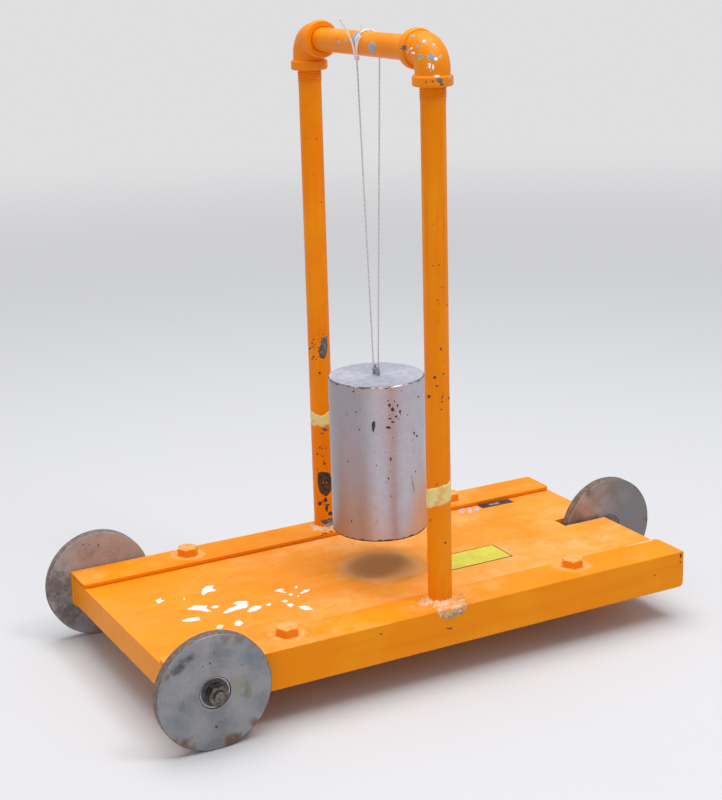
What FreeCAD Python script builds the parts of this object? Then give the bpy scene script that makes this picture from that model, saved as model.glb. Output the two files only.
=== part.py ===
import FreeCAD, Part

import math
import os

import Sketcher
from FreeCAD import Placement, Rotation, Vector

# Three-wheeled pendulum cart. Millimetres, +Z up, +X towards the single rear wheel.
# The origin is on the floor, below the middle of the cart's length and width.

DIMENSIONS = (
    # running gear
    ("wheel_diameter", 101.6),
    ("wheel_width", 9.5),
    ("wheel_edge", 0.8),
    ("wheelbase", 494.7),
    ("bearing_outer", 28.0),
    ("bearing_bore", 10.0),
    ("bearing_width", 8.0),
    ("inner_race_outer", 15.0),
    ("outer_race_inner", 23.0),
    ("ball_diameter", 5.2),
    ("ball_clearance", 0.05),
    ("seal_thickness", 0.6),
    ("seal_depth", 0.3),
    ("seal_lip_gap", 0.4),
    # rails of steel angle, flange on top and leg outside
    ("overall_width", 263.0),
    ("rail_length", 515.0),
    ("rail_overhang", 28.3),
    ("rail_flange", 40.0),
    ("rail_leg", 35.0),
    ("rail_thickness", 4.0),
    ("rail_root_radius", 2.8),
    ("rail_toe_radius", 1.8),
    ("rail_heel_radius", 0.8),
    ("rail_corner_radius", 4.5),
    ("axle_drop", 17.9),
    # deck board and the slot for the rear wheel
    ("board_width", 249.0),
    ("board_thickness", 25.4),
    ("slot_width", 19.0),
    ("slot_length", 48.0),
    ("slot_middle", 2.5),
    # pipe portal
    ("post_setback", 230.7),
    ("post_spacing", 223.0),
    ("pipe_outer", 21.3),
    ("pipe_wall", 2.8),
    ("crossbar_height", 478.0),
    ("elbow_reach", 28.5),
    ("elbow_bend", 15.5),
    ("elbow_body", 29.5),
    ("elbow_band", 34.0),
    ("elbow_band_height", 9.0),
    ("elbow_band_round", 2.0),
    ("elbow_socket", 21.4),
    ("elbow_socket_depth", 13.0),
    ("elbow_passage", 16.0),
    ("elbow_mouth_bevel", 1.0),
    ("weld_leg", 6.0),
    ("weld_spread", 6.5),
    ("weld_run_start", 12.0),
    ("weld_run_length", 22.0),
    ("weld_run_rise", 3.2),
    ("weld_run_drop", 8.0),
    ("weld_run_proud", 2.6),
    # deck bolts
    ("deck_bolt_setback", 147.0),
    ("deck_bolt_spacing", 219.0),
    ("deck_bolt_middle", 4.5),
    ("deck_bolt_diameter", 12.0),
    ("deck_bolt_hole", 12.6),
    ("deck_bolt_flats", 18.0),
    ("deck_bolt_head", 7.5),
    ("deck_bolt_past_nut", 0.7),
    ("deck_nut_height", 9.5),
    ("deck_washer_outer", 21.0),
    ("deck_washer_thickness", 2.0),
    # front axle
    ("axle_diameter", 10.0),
    ("axle_hole", 10.4),
    ("axle_past_nut", 3.25),
    ("axle_nut_flats", 16.0),
    ("axle_nut_height", 8.0),
    ("axle_washer_outer", 14.0),
    ("axle_washer_thickness", 1.5),
    ("wheel_gap", 1.0),
    # rear axle and what carries it
    ("strap_length", 55.0),
    ("strap_height", 16.0),
    ("strap_thickness", 3.5),
    ("rear_bolt_diameter", 8.0),
    ("rear_bolt_flats", 13.0),
    ("rear_bolt_head", 5.3),
    ("rear_nut_height", 6.5),
    ("rear_bolt_past_nut", 2.5),
    ("bush_outer", 14.0),
    ("bush_bore", 8.1),
    ("bush_nose_length", 3.9),
    ("strap_screw_first", 28.0),
    ("strap_screw_pitch", 18.0),
    ("strap_screw_diameter", 4.4),
    ("strap_screw_length", 24.0),
    ("strap_screw_head", 8.0),
    ("strap_hole", 4.6),
    ("strap_countersink", 1.75),
    # pendulum
    ("weight_diameter", 88.0),
    ("weight_height", 146.0),
    ("weight_edge", 1.0),
    ("weight_clearance", 37.0),
    ("pendulum_middle", -3.2),
    ("eye_wire", 3.2),
    ("eye_radius", 3.6),
    ("eye_rise", 4.3),
    ("eye_depth", 8.0),
    ("line_diameter", 1.4),
    ("line_gap_at_bar", 0.3),
    ("line_gap_at_eye", 0.1),
    ("knot_drop", 11.5),
    ("knot_width", 5.6),
    ("knot_height", 5.0),
    ("tail_diameter", 1.6),
)


class Dim:
    """A length: its value now, and the sheet expression that gives it."""

    def __init__(self, value, text):
        self.value = value
        self.text = text

    def __add__(self, other):
        other = as_dim(other)
        return Dim(self.value + other.value, "(%s + %s)" % (self.text, other.text))

    def __sub__(self, other):
        other = as_dim(other)
        return Dim(self.value - other.value, "(%s - %s)" % (self.text, other.text))

    def __mul__(self, factor):
        return Dim(self.value * factor, "(%s * %.9g)" % (self.text, factor))

    def __truediv__(self, factor):
        return Dim(self.value / factor, "(%s / %.9g)" % (self.text, factor))

    def __neg__(self):
        return Dim(-self.value, "(0 - %s)" % self.text)

    __radd__ = __add__
    __rmul__ = __mul__


def as_dim(number):
    return number if isinstance(number, Dim) else Dim(float(number), "%.9g" % number)


doc = FreeCAD.newDocument("pendulum_cart")
sheet = doc.addObject("Spreadsheet::Sheet", "Dimensions")
size = {}
for row, (alias, number) in enumerate(DIMENSIONS, start=1):
    sheet.set("A%d" % row, alias)
    sheet.set("B%d" % row, str(number))
    sheet.setAlias("B%d" % row, alias)
    size[alias] = Dim(number, "Dimensions." + alias)
doc.recompute()

# Places that several pieces share

axle_z = size["wheel_diameter"] / 2
flange_top = axle_z + size["axle_drop"]
board_top = flange_top - size["rail_thickness"]
board_bottom = board_top - size["board_thickness"]
front_axle_x = -size["wheelbase"] / 2
rear_axle_x = size["wheelbase"] / 2
rail_front_x = front_axle_x - size["rail_overhang"]
rail_rear_x = rail_front_x + size["rail_length"]
rail_outer_y = size["overall_width"] / 2
post_x = front_axle_x + size["post_setback"]
post_y = size["post_spacing"] / 2
crossbar_z = flange_top + size["crossbar_height"]
weight_bottom = flange_top + size["weight_clearance"]
weight_top = weight_bottom + size["weight_height"]

TOWARDS_FAR = Rotation(Vector(1, 0, 0), -90)
TOWARDS_NEAR = Rotation(Vector(1, 0, 0), 90)
UPRIGHT = Rotation()

BALL_COUNT = 7

subparts = []


# Helpers


def bind(thing, prop, dim):
    thing.setExpression(prop, as_dim(dim).text)


def place(thing, x, y, z, rotation=UPRIGHT):
    """Put a sub-part at a point of the cart, its own Z axis turned by rotation."""
    spot = [as_dim(value) for value in (x, y, z)]
    thing.Placement = Placement(Vector(*[value.value for value in spot]), rotation)
    for axis, value in zip("xyz", spot):
        bind(thing, "Placement.Base." + axis, value)
    return thing


def keep(thing, label):
    """Name a finished sub-part; the label also names its file."""
    thing.Label = label
    doc.recompute()
    subparts.append(thing)
    return thing


def new_body(label):
    return doc.addObject("PartDesign::Body", "Body_" + label)


def sketch_on(body, role, offset=None):
    """A sketch on one of the body's own planes, moved along the plane's normal."""
    sketch = body.newObject("Sketcher::SketchObject", body.Name + "_sketch")
    plane = [item for item in body.Origin.OriginFeatures if item.Role == role][0]
    sketch.AttachmentSupport = (plane, [""])
    sketch.MapMode = "FlatFace"
    if offset is not None:
        bind(sketch, "AttachmentOffset.Base.z", offset)
    return sketch


def fix_point(sketch, curve, end, x, y):
    """Hold one point of a curve at sheet distances from the sketch's origin."""
    for kind, dim, axis in (("DistanceX", as_dim(x), -2), ("DistanceY", as_dim(y), -1)):
        if abs(dim.value) < 1e-9:
            sketch.addConstraint(Sketcher.Constraint("PointOnObject", curve, end, axis))
        elif dim.value > 0:
            index = sketch.addConstraint(Sketcher.Constraint(kind, -1, 1, curve, end, dim.value))
            bind(sketch, "Constraints[%d]" % index, dim)
        else:
            index = sketch.addConstraint(Sketcher.Constraint(kind, curve, end, -1, 1, -dim.value))
            bind(sketch, "Constraints[%d]" % index, -dim)


def draw_outline(sketch, points):
    """A closed outline of straight lines through points given as pairs of lengths."""
    corners = [(as_dim(x), as_dim(y)) for x, y in points]
    vectors = [Vector(x.value, y.value, 0) for x, y in corners]
    first = sketch.GeometryCount
    count = len(corners)
    for index in range(count):
        sketch.addGeometry(Part.LineSegment(vectors[index], vectors[(index + 1) % count]), False)
    for index in range(count):
        following = first + (index + 1) % count
        sketch.addConstraint(Sketcher.Constraint("Coincident", first + index, 2, following, 1))
    for index, (x, y) in enumerate(corners):
        fix_point(sketch, first + index, 1, x, y)


def draw_circle(sketch, diameter, x=0, y=0):
    x, y, diameter = as_dim(x), as_dim(y), as_dim(diameter)
    middle = Vector(x.value, y.value, 0)
    curve = sketch.addGeometry(Part.Circle(middle, Vector(0, 0, 1), diameter.value / 2), False)
    if abs(x.value) < 1e-9 and abs(y.value) < 1e-9:
        sketch.addConstraint(Sketcher.Constraint("Coincident", curve, 3, -1, 1))
    else:
        fix_point(sketch, curve, 3, x, y)
    index = sketch.addConstraint(Sketcher.Constraint("Diameter", curve, diameter.value))
    bind(sketch, "Constraints[%d]" % index, diameter)


def draw_hexagon(sketch, flats):
    corner = flats / math.sqrt(3)
    turns = [math.radians(60 * step) for step in range(6)]
    draw_outline(sketch, [(corner * math.cos(turn), corner * math.sin(turn)) for turn in turns])


def add_pad(body, sketch, length, reverse=False, both_ways=False):
    pad = body.newObject("PartDesign::Pad", body.Name + "_pad")
    pad.Profile = sketch
    pad.Reversed = reverse
    if both_ways:
        pad.SideType = "Symmetric"
    bind(pad, "Length", length)
    return pad


def add_pocket(body, sketch, length=None, reverse=False, both_ways=False):
    """Cut a sketch through the body, or to a depth; the cut has to remove something."""
    doc.recompute()
    before = body.Shape.Volume
    pocket = body.newObject("PartDesign::Pocket", body.Name + "_pocket")
    pocket.Profile = sketch
    pocket.Reversed = reverse
    if both_ways:
        pocket.SideType = "Symmetric"
    if length is None:
        pocket.Type = "ThroughAll"
    else:
        bind(pocket, "Length", length)
    doc.recompute()
    if body.Shape.Volume > before - 0.1:
        raise RuntimeError(body.Name + ": a pocket cuts nothing")
    return pocket


def add_turned(body, points, groove=False):
    """Turn an outline of (radius, height) pairs about the body's Z axis."""
    sketch = sketch_on(body, "XZ_Plane")
    draw_outline(sketch, points)
    kind = "PartDesign::Groove" if groove else "PartDesign::Revolution"
    turned = body.newObject(kind, body.Name + "_turned")
    turned.Profile = sketch
    turned.ReferenceAxis = (sketch, ["V_Axis"])
    turned.Angle = 360
    return turned


def edges_of(shape, test):
    """Names of the edges whose middle point passes a test."""
    names = []
    for index, edge in enumerate(shape.Edges, start=1):
        middle = edge.valueAt((edge.FirstParameter + edge.LastParameter) / 2)
        if test(edge, middle):
            names.append("Edge%d" % index)
    return names


def add_dressing(body, kind, test, amount):
    """Round ("Fillet") or bevel ("Chamfer") the edges that pass a test."""
    doc.recompute()
    base = body.Tip
    names = edges_of(base.Shape, test)
    if not names:
        raise RuntimeError(body.Name + ": no edge to dress")
    dressing = body.newObject("PartDesign::" + kind, body.Name + "_" + kind.lower())
    dressing.Base = (base, names)
    bind(dressing, "Radius" if kind == "Fillet" else "Size", amount)
    doc.recompute()
    return dressing


def near(first, second, reach=0.05):
    return abs(first - as_dim(second).value) < reach


def ring(label, outer, inner, length):
    """A tube, washer or bush along its own Z axis, from height 0."""
    body = new_body(label)
    sketch = sketch_on(body, "XY_Plane")
    draw_circle(sketch, outer)
    draw_circle(sketch, inner)
    add_pad(body, sketch, length)
    return body


HEXAGON_CROWN = 0.49
HEXAGON_CORNER = 0.6
CROWN_SLOPE = math.tan(math.radians(30))
BOLT_TIP = 0.42
BOLT_TIP_BEVEL = 0.08


def bevel_hexagon(body, flats, height):
    """Turn off the corners of a hexagon's top, as a machined head has them."""
    inside = flats * HEXAGON_CROWN
    outside = flats * HEXAGON_CORNER
    fall = (outside - inside) * CROWN_SLOPE
    add_turned(body, [(inside, height), (outside, height), (outside, height - fall)], groove=True)


def hex_nut(label, flats, bore, height):
    body = new_body(label)
    sketch = sketch_on(body, "XY_Plane")
    draw_hexagon(sketch, flats)
    draw_circle(sketch, bore)
    add_pad(body, sketch, height)
    bevel_hexagon(body, flats, height)
    return body


def hex_bolt(label, flats, head, diameter, length):
    """A hex bolt, its head standing on height 0 and its shank below."""
    body = new_body(label)
    tip = diameter * BOLT_TIP
    bevel = diameter * BOLT_TIP_BEVEL
    shank = [(0, 0), (diameter / 2, 0), (diameter / 2, bevel - length), (tip, -length), (0, -length)]
    add_turned(body, shank)
    sketch = sketch_on(body, "XY_Plane")
    draw_hexagon(sketch, flats)
    add_pad(body, sketch, head)
    bevel_hexagon(body, flats, head)
    return body


def copies(label, source, places):
    """One node of identical separate solids: a source piece put at each place."""
    links = []
    for index, (x, y, z, rotation) in enumerate(places):
        link = doc.addObject("App::Link", "%s_%d" % (label, index + 1))
        link.LinkedObject = source
        links.append(place(link, x, y, z, rotation))
    group = doc.addObject("Part::Compound", "Group_" + label)
    group.Links = links
    return keep(group, label)


# Deck board: a plank with a slot in its rear end, bored for bolts, axle and strap screws


def make_deck_board():
    body = new_body("deck_board")
    edge = size["board_width"] / 2
    slot_end = rail_rear_x - size["slot_length"]
    slot_near = size["slot_middle"] - size["slot_width"] / 2
    slot_far = size["slot_middle"] + size["slot_width"] / 2
    sketch = sketch_on(body, "XY_Plane")
    draw_outline(sketch, [
        (rail_front_x, -edge), (rail_rear_x, -edge), (rail_rear_x, slot_near), (slot_end, slot_near),
        (slot_end, slot_far), (rail_rear_x, slot_far), (rail_rear_x, edge), (rail_front_x, edge)])
    add_pad(body, sketch, size["board_thickness"])

    bolts = sketch_on(body, "XY_Plane")
    for x, y in deck_bolt_places():
        draw_circle(bolts, size["deck_bolt_hole"], x, y)
    add_pocket(body, bolts, reverse=True)

    cross = sketch_on(body, "XZ_Plane")
    draw_circle(cross, size["axle_hole"], front_axle_x, axle_z - board_bottom)
    add_pocket(body, cross, both_ways=True)

    screws = sketch_on(body, "XZ_Plane", -size["slot_middle"])
    for step in range(2):
        screw_x = rear_axle_x - size["strap_screw_first"] - size["strap_screw_pitch"] * step
        draw_circle(screws, size["strap_screw_diameter"], screw_x, axle_z - board_bottom)
    reach = size["slot_width"] + size["strap_screw_length"] * 2 - size["strap_thickness"] * 2
    add_pocket(body, screws, reach, both_ways=True)
    keep(place(body, 0, 0, board_bottom), "deck_board")


def deck_bolt_places():
    along, across = size["deck_bolt_setback"], size["deck_bolt_spacing"] / 2
    return [(post_x + along * end, size["deck_bolt_middle"] + across * side)
            for end in (-1, 1) for side in (-1, 1)]


# Rails: rolled angle with round root and toes, square cut, corners ground round


def make_rail(label, side):
    body = new_body(label)
    outer = rail_outer_y * side
    leg_inside = (rail_outer_y - size["rail_thickness"]) * side
    flange_edge = (rail_outer_y - size["rail_flange"]) * side
    leg_bottom = flange_top - size["rail_leg"]
    profile = sketch_on(body, "YZ_Plane", rail_front_x)
    draw_outline(profile, [
        (outer, leg_bottom), (leg_inside, leg_bottom), (leg_inside, board_top),
        (flange_edge, board_top), (flange_edge, flange_top), (outer, flange_top)])
    add_pad(body, profile, size["rail_length"])

    def at_end(mid):
        return near(mid.x, rail_front_x) or near(mid.x, rail_rear_x)

    add_dressing(body, "Fillet", lambda edge, mid: at_end(mid) and (
        (near(mid.y, flange_edge) and mid.z > board_top.value)
        or (near(mid.z, leg_bottom) and abs(mid.y) > abs(leg_inside.value))),
        size["rail_corner_radius"])

    def along(edge):
        return edge.Length > size["rail_length"].value * 0.9

    add_dressing(body, "Fillet", lambda edge, mid: along(edge) and near(mid.y, leg_inside)
                 and near(mid.z, board_top), size["rail_root_radius"])
    add_dressing(body, "Fillet", lambda edge, mid: along(edge) and (
        (near(mid.y, flange_edge) and near(mid.z, board_top))
        or (near(mid.y, leg_inside) and near(mid.z, leg_bottom))), size["rail_toe_radius"])
    add_dressing(body, "Fillet", lambda edge, mid: along(edge) and near(mid.y, outer)
                 and near(mid.z, flange_top), size["rail_heel_radius"])

    bolts = sketch_on(body, "XY_Plane")
    for x, y in deck_bolt_places():
        if y.value * side > 0:
            draw_circle(bolts, size["deck_bolt_hole"], x, y)
    add_pocket(body, bolts, reverse=True)
    axle = sketch_on(body, "XZ_Plane")
    draw_circle(axle, size["axle_hole"], front_axle_x, axle_z)
    add_pocket(body, axle, both_ways=True)
    keep(place(body, 0, 0, 0), label)


# Portal: two posts, two elbows and a crossbar


def make_posts_and_crossbar():
    bore = size["pipe_outer"] - size["pipe_wall"] * 2
    seat = size["elbow_reach"] - size["elbow_socket_depth"]
    for label, side in (("near_post", -1), ("far_post", 1)):
        post = ring(label, size["pipe_outer"], bore, size["crossbar_height"] - seat)
        keep(place(post, post_x, post_y * side, flange_top), label)
    crossbar = ring("crossbar_pipe", size["pipe_outer"], bore, (post_y - seat) * 2)
    keep(place(crossbar, post_x, seat - post_y, crossbar_z, TOWARDS_FAR), "crossbar_pipe")


def add_run(body, role, offset, diameter, length, y=0, cut=False):
    """A straight round run from a plane of the body, added or cut away."""
    section = sketch_on(body, role, offset)
    draw_circle(section, diameter, 0, y)
    if cut:
        return add_pocket(body, section, length, reverse=True)
    return add_pad(body, section, length)


def add_turn(body, offset, diameter, y, axis_y, degrees, cut=False):
    """A round run turned about a line along X, starting upwards from the plane at offset."""
    section = sketch_on(body, "XY_Plane", offset)
    draw_circle(section, diameter, 0, y)
    half = as_dim(diameter) / 2
    ends = Vector(half.value, as_dim(axis_y).value, 0), Vector(-half.value, as_dim(axis_y).value, 0)
    line = section.addGeometry(Part.LineSegment(*ends), True)
    fix_point(section, line, 1, half, axis_y)
    fix_point(section, line, 2, -half, axis_y)
    kind = "PartDesign::Groove" if cut else "PartDesign::Revolution"
    turn = body.newObject(kind, body.Name + "_turn")
    turn.Profile = section
    turn.ReferenceAxis = (section, ["Axis0"])
    turn.Angle = degrees
    return turn


def add_elbow_core(body, diameter, cut=False):
    """Up from the lower mouth, a quarter turn, and out along +Y."""
    reach, bend = size["elbow_reach"], size["elbow_bend"]
    add_run(body, "XY_Plane", -reach, diameter, reach - bend, cut=cut)
    add_turn(body, -bend, diameter, 0, bend, 90, cut=cut)
    add_run(body, "XZ_Plane", -reach, diameter, reach - bend, cut=cut)
    doc.recompute()


def make_elbow(label, side, rotation):
    """A banded malleable elbow, one mouth down and one along its own +Y."""
    body = new_body(label)
    reach = size["elbow_reach"]
    add_elbow_core(body, size["elbow_body"])
    for role, offset in (("XY_Plane", -reach), ("XZ_Plane", -reach)):
        band = sketch_on(body, role, offset)
        draw_circle(band, size["elbow_band"])
        add_pad(body, band, size["elbow_band_height"])

    def band_rim(edge, mid):
        round_edge = hasattr(edge.Curve, "Radius") and near(edge.Curve.Radius, size["elbow_band"] / 2)
        return round_edge and edge.Length > 1

    add_dressing(body, "Fillet", band_rim, size["elbow_band_round"])
    add_elbow_core(body, size["elbow_passage"], cut=True)
    for role, offset in (("XY_Plane", -reach), ("XZ_Plane", -reach)):
        socket = sketch_on(body, role, offset)
        draw_circle(socket, size["elbow_socket"])
        add_pocket(body, socket, size["elbow_socket_depth"], reverse=True)
    add_dressing(body, "Chamfer", lambda edge, mid: hasattr(edge.Curve, "Radius")
                 and near(edge.Curve.Radius, size["elbow_socket"] / 2)
                 and (near(mid.z, -reach) or near(mid.y, reach)), size["elbow_mouth_bevel"])
    keep(place(body, post_x, post_y * side, crossbar_z, rotation), label)


# Welds: a bead round the foot of each post, on the near side run out over the rail's edge


def add_weld_run(body):
    """A tongue of weld metal from the post out over the rail's heel, fading at both ends."""
    edge = post_y - rail_outer_y
    inner = -size["weld_run_start"]
    fades = ((-1, 0.3), (-0.6, 0.85), (0.1, 1.0), (0.7, 0.7), (1, 0.25))
    sections = []
    for station, fade in fades:
        rise, drop = size["weld_run_rise"] * fade, size["weld_run_drop"] * fade
        proud = edge - size["weld_run_proud"] * fade
        section = sketch_on(body, "YZ_Plane", size["weld_run_length"] / 2 * station)
        draw_outline(section, [
            (inner, 0), (inner, rise), (edge + 2, rise), (edge - 1 * fade, rise * 0.6),
            (proud, drop * -0.3), (proud + 0.6 * fade, drop * -0.8), (edge, -drop), (edge, 0)])
        sections.append(section)
    run = body.newObject("PartDesign::AdditiveLoft", body.Name + "_run")
    run.Profile = sections[0]
    run.Sections = sections[1:]


def make_weld(label, side, has_run):
    body = new_body(label)
    inside = size["pipe_outer"] / 2
    leg, spread = size["weld_leg"], size["weld_spread"]
    add_turned(body, [
        (inside, 0), (inside + spread, 0), (inside + spread * 0.82, leg * 0.4),
        (inside + spread * 0.4, leg * 0.75), (inside, leg)])
    if has_run:
        add_weld_run(body)
    keep(place(body, post_x, post_y * side, flange_top), label)


# Deck bolts with their washers and nuts under the board


def make_deck_fasteners():
    stack = size["rail_thickness"] + size["board_thickness"]
    washer_bottom = board_bottom - size["deck_washer_thickness"]
    length = (stack + size["deck_washer_thickness"] + size["deck_nut_height"] + size["deck_bolt_past_nut"])
    bolt = hex_bolt("deck_bolt", size["deck_bolt_flats"], size["deck_bolt_head"],
                    size["deck_bolt_diameter"], length)
    washer = ring("deck_washer", size["deck_washer_outer"], size["deck_bolt_hole"],
                  size["deck_washer_thickness"])
    nut = hex_nut("deck_nut", size["deck_bolt_flats"], size["deck_bolt_diameter"] + 0.1,
                  size["deck_nut_height"])
    over = Rotation(Vector(1, 0, 0), 180)
    spots = deck_bolt_places()
    copies("deck_bolts", bolt, [(x, y, flange_top, UPRIGHT) for x, y in spots])
    copies("deck_washers", washer, [(x, y, washer_bottom, UPRIGHT) for x, y in spots])
    copies("deck_nuts", nut, [(x, y, washer_bottom, over) for x, y in spots])


# Wheels: a plain disc pressed on a sealed ball bearing, about its own Z axis


def make_wheel(name, y):
    """One wheel about its middle plane, which lies at the given y."""
    z = axle_z
    x = rear_axle_x if name == "rear" else front_axle_x
    half = size["wheel_width"] / 2
    rim = size["wheel_diameter"] / 2
    bevel = size["wheel_edge"]
    disc = new_body(name + "_wheel_disc")
    add_turned(disc, [
        (size["bearing_outer"] / 2, -half), (rim - bevel, -half), (rim, bevel - half),
        (rim, half - bevel), (rim - bevel, half), (size["bearing_outer"] / 2, half)])
    keep(place(disc, x, y, z, TOWARDS_FAR), name + "_wheel_disc")

    pitch = (size["inner_race_outer"] + size["outer_race_inner"]) / 4
    track = size["ball_diameter"] + size["ball_clearance"] * 2
    races = (("outer_race", size["bearing_outer"], size["outer_race_inner"]),
             ("inner_race", size["inner_race_outer"], size["bearing_bore"]))
    for race_name, outer, inner in races:
        race = ring(name + "_" + race_name, outer, inner, size["bearing_width"])
        track_sketch = sketch_on(race, "XZ_Plane")
        draw_circle(track_sketch, track, pitch, size["bearing_width"] / 2)
        groove = race.newObject("PartDesign::Groove", race.Name + "_track")
        groove.Profile = track_sketch
        groove.ReferenceAxis = (track_sketch, ["V_Axis"])
        groove.Angle = 360
        keep(place(race, x, y - size["bearing_width"] / 2, z, TOWARDS_FAR), name + "_" + race_name)

    ball = doc.addObject("Part::Sphere", name + "_ball")
    bind(ball, "Radius", size["ball_diameter"] / 2)
    angles = [math.tau * step / BALL_COUNT for step in range(BALL_COUNT)]
    copies(name + "_bearing_balls", ball, [
        (x + pitch * math.cos(angle), y, z + pitch * math.sin(angle), UPRIGHT) for angle in angles])

    lip = size["inner_race_outer"] + size["seal_lip_gap"] * 2
    seal = ring(name + "_seal", size["outer_race_inner"], lip, size["seal_thickness"])
    inset = size["bearing_width"] / 2 - size["seal_depth"]
    copies(name + "_bearing_seals", seal, [
        (x, y - inset, z, TOWARDS_FAR), (x, y + inset, z, TOWARDS_NEAR)])


# Front axle: one rod through both rails and the board


def make_front_axle():
    spacer_length = size["wheel_gap"] + (size["wheel_width"] - size["bearing_width"]) / 2
    washer_y = rail_outer_y + spacer_length + size["bearing_width"]
    nut_y = washer_y + size["axle_washer_thickness"]
    end = nut_y + size["axle_nut_height"] + size["axle_past_nut"]
    bevel = size["axle_diameter"] * 0.1
    radius = size["axle_diameter"] / 2
    rod = new_body("front_axle")
    add_turned(rod, [
        (0, -end), (radius - bevel, -end), (radius, bevel - end), (radius, end - bevel),
        (radius - bevel, end), (0, end)])
    keep(place(rod, front_axle_x, 0, axle_z, TOWARDS_FAR), "front_axle")

    bore = size["axle_diameter"] + 0.1
    spacer = ring("axle_spacer", size["axle_washer_outer"], bore, spacer_length)
    washer = ring("axle_washer", size["axle_washer_outer"], bore, size["axle_washer_thickness"])
    nut = hex_nut("axle_nut", size["axle_nut_flats"], bore, size["axle_nut_height"])
    stacks = (("axle_spacers", spacer, rail_outer_y), ("axle_washers", washer, washer_y),
              ("axle_nuts", nut, nut_y))
    for label, piece, y in stacks:
        copies(label, piece, [
            (front_axle_x, -y, axle_z, TOWARDS_NEAR), (front_axle_x, y, axle_z, TOWARDS_FAR)])


# Rear axle: a bolt through two straps that are screwed to the cheeks of the slot


def draw_strap_outline(sketch, length, radius):
    """A bar with one round end, whose centre is the sketch's origin."""
    reach, half = length.value, radius.value
    low = sketch.addGeometry(Part.LineSegment(Vector(-reach, -half, 0), Vector(0, -half, 0)), False)
    circle = Part.Circle(Vector(0, 0, 0), Vector(0, 0, 1), half)
    arc = sketch.addGeometry(Part.ArcOfCircle(circle, -math.pi / 2, math.pi / 2), False)
    high = sketch.addGeometry(Part.LineSegment(Vector(0, half, 0), Vector(-reach, half, 0)), False)
    back = sketch.addGeometry(Part.LineSegment(Vector(-reach, half, 0), Vector(-reach, -half, 0)), False)
    sketch.addConstraint(Sketcher.Constraint("Tangent", low, 2, arc, 1))
    sketch.addConstraint(Sketcher.Constraint("Tangent", high, 1, arc, 2))
    sketch.addConstraint(Sketcher.Constraint("Coincident", high, 2, back, 1))
    sketch.addConstraint(Sketcher.Constraint("Coincident", back, 2, low, 1))
    sketch.addConstraint(Sketcher.Constraint("Coincident", arc, 3, -1, 1))
    fix_point(sketch, back, 1, -length, radius)
    fix_point(sketch, back, 2, -length, -radius)


def make_strap(label, side):
    """A flat strap, its round end about the axle and its back on the slot's cheek."""
    body = new_body(label)
    outline = sketch_on(body, "XZ_Plane")
    draw_strap_outline(outline, size["strap_length"], size["strap_height"] / 2)
    add_pad(body, outline, size["strap_thickness"])
    holes = sketch_on(body, "XZ_Plane")
    draw_circle(holes, size["bush_bore"])
    for step in range(2):
        offset = size["strap_screw_first"] + size["strap_screw_pitch"] * step
        draw_circle(holes, size["strap_hole"], -offset, 0)
    add_pocket(body, holes, both_ways=True)
    wheel_side = -size["strap_thickness"] if side > 0 else 0
    add_dressing(body, "Chamfer", lambda edge, mid: near(mid.y, wheel_side) and hasattr(edge.Curve, "Radius")
                 and near(edge.Curve.Radius, size["strap_hole"] / 2), size["strap_countersink"])
    cheek = size["slot_middle"] + size["slot_width"] / 2 * side
    back = cheek if side > 0 else cheek + size["strap_thickness"]
    keep(place(body, rear_axle_x, back, axle_z), label)


def make_rear_axle():
    middle = size["slot_middle"]
    cheek = size["slot_width"] / 2
    inner = cheek - size["strap_thickness"]
    for label, side in (("rear_strap_near", -1), ("rear_strap_far", 1)):
        make_strap(label, side)

    length = size["slot_width"] + size["rear_nut_height"] + size["rear_bolt_past_nut"]
    bolt = hex_bolt("rear_axle_bolt", size["rear_bolt_flats"], size["rear_bolt_head"],
                    size["rear_bolt_diameter"], length)
    keep(place(bolt, rear_axle_x, middle - cheek, axle_z, TOWARDS_NEAR), "rear_axle_bolt")
    nut = hex_nut("rear_axle_nut", size["rear_bolt_flats"], size["bush_bore"], size["rear_nut_height"])
    keep(place(nut, rear_axle_x, middle + cheek, axle_z, TOWARDS_FAR), "rear_axle_nut")

    race_face = size["bearing_width"] / 2
    shoulder = inner - race_face
    bore = size["bush_bore"] / 2
    nose = size["bearing_bore"] / 2
    body_radius = size["bush_outer"] / 2
    bush = new_body("rear_bush")
    add_turned(bush, [
        (bore, 0), (body_radius, 0), (body_radius, shoulder), (nose, shoulder),
        (nose, shoulder + size["bush_nose_length"]), (bore, shoulder + size["bush_nose_length"])])
    copies("rear_bushes", bush, [
        (rear_axle_x, middle - inner, axle_z, TOWARDS_FAR),
        (rear_axle_x, middle + inner, axle_z, TOWARDS_NEAR)])

    screw = new_body("strap_screw")
    shank = size["strap_screw_diameter"] / 2
    head = size["strap_screw_head"] / 2
    long = size["strap_screw_length"]
    add_turned(screw, [(0, -long), (shank, shank * 2 - long), (shank, shank - head), (head, 0), (0, 0)])
    spots = []
    for step in range(2):
        screw_x = rear_axle_x - size["strap_screw_first"] - size["strap_screw_pitch"] * step
        spots.append((screw_x, middle - inner, axle_z, TOWARDS_FAR))
        spots.append((screw_x, middle + inner, axle_z, TOWARDS_NEAR))
    copies("strap_screws", screw, spots)


# Pendulum: steel cylinder, wire eye, and one loop of line over the crossbar


def make_weight():
    body = new_body("weight_cylinder")
    radius, tall, edge = size["weight_diameter"] / 2, size["weight_height"], size["weight_edge"]
    add_turned(body, [
        (0, 0), (radius - edge, 0), (radius, edge), (radius, tall - edge), (radius - edge, tall), (0, tall)])
    holes = sketch_on(body, "XY_Plane", tall)
    for side in (-1, 1):
        draw_circle(holes, size["eye_wire"], 0, size["eye_radius"] * side)
    add_pocket(body, holes, size["eye_depth"])
    keep(place(body, post_x, size["pendulum_middle"], weight_bottom), "weight_cylinder")


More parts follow.
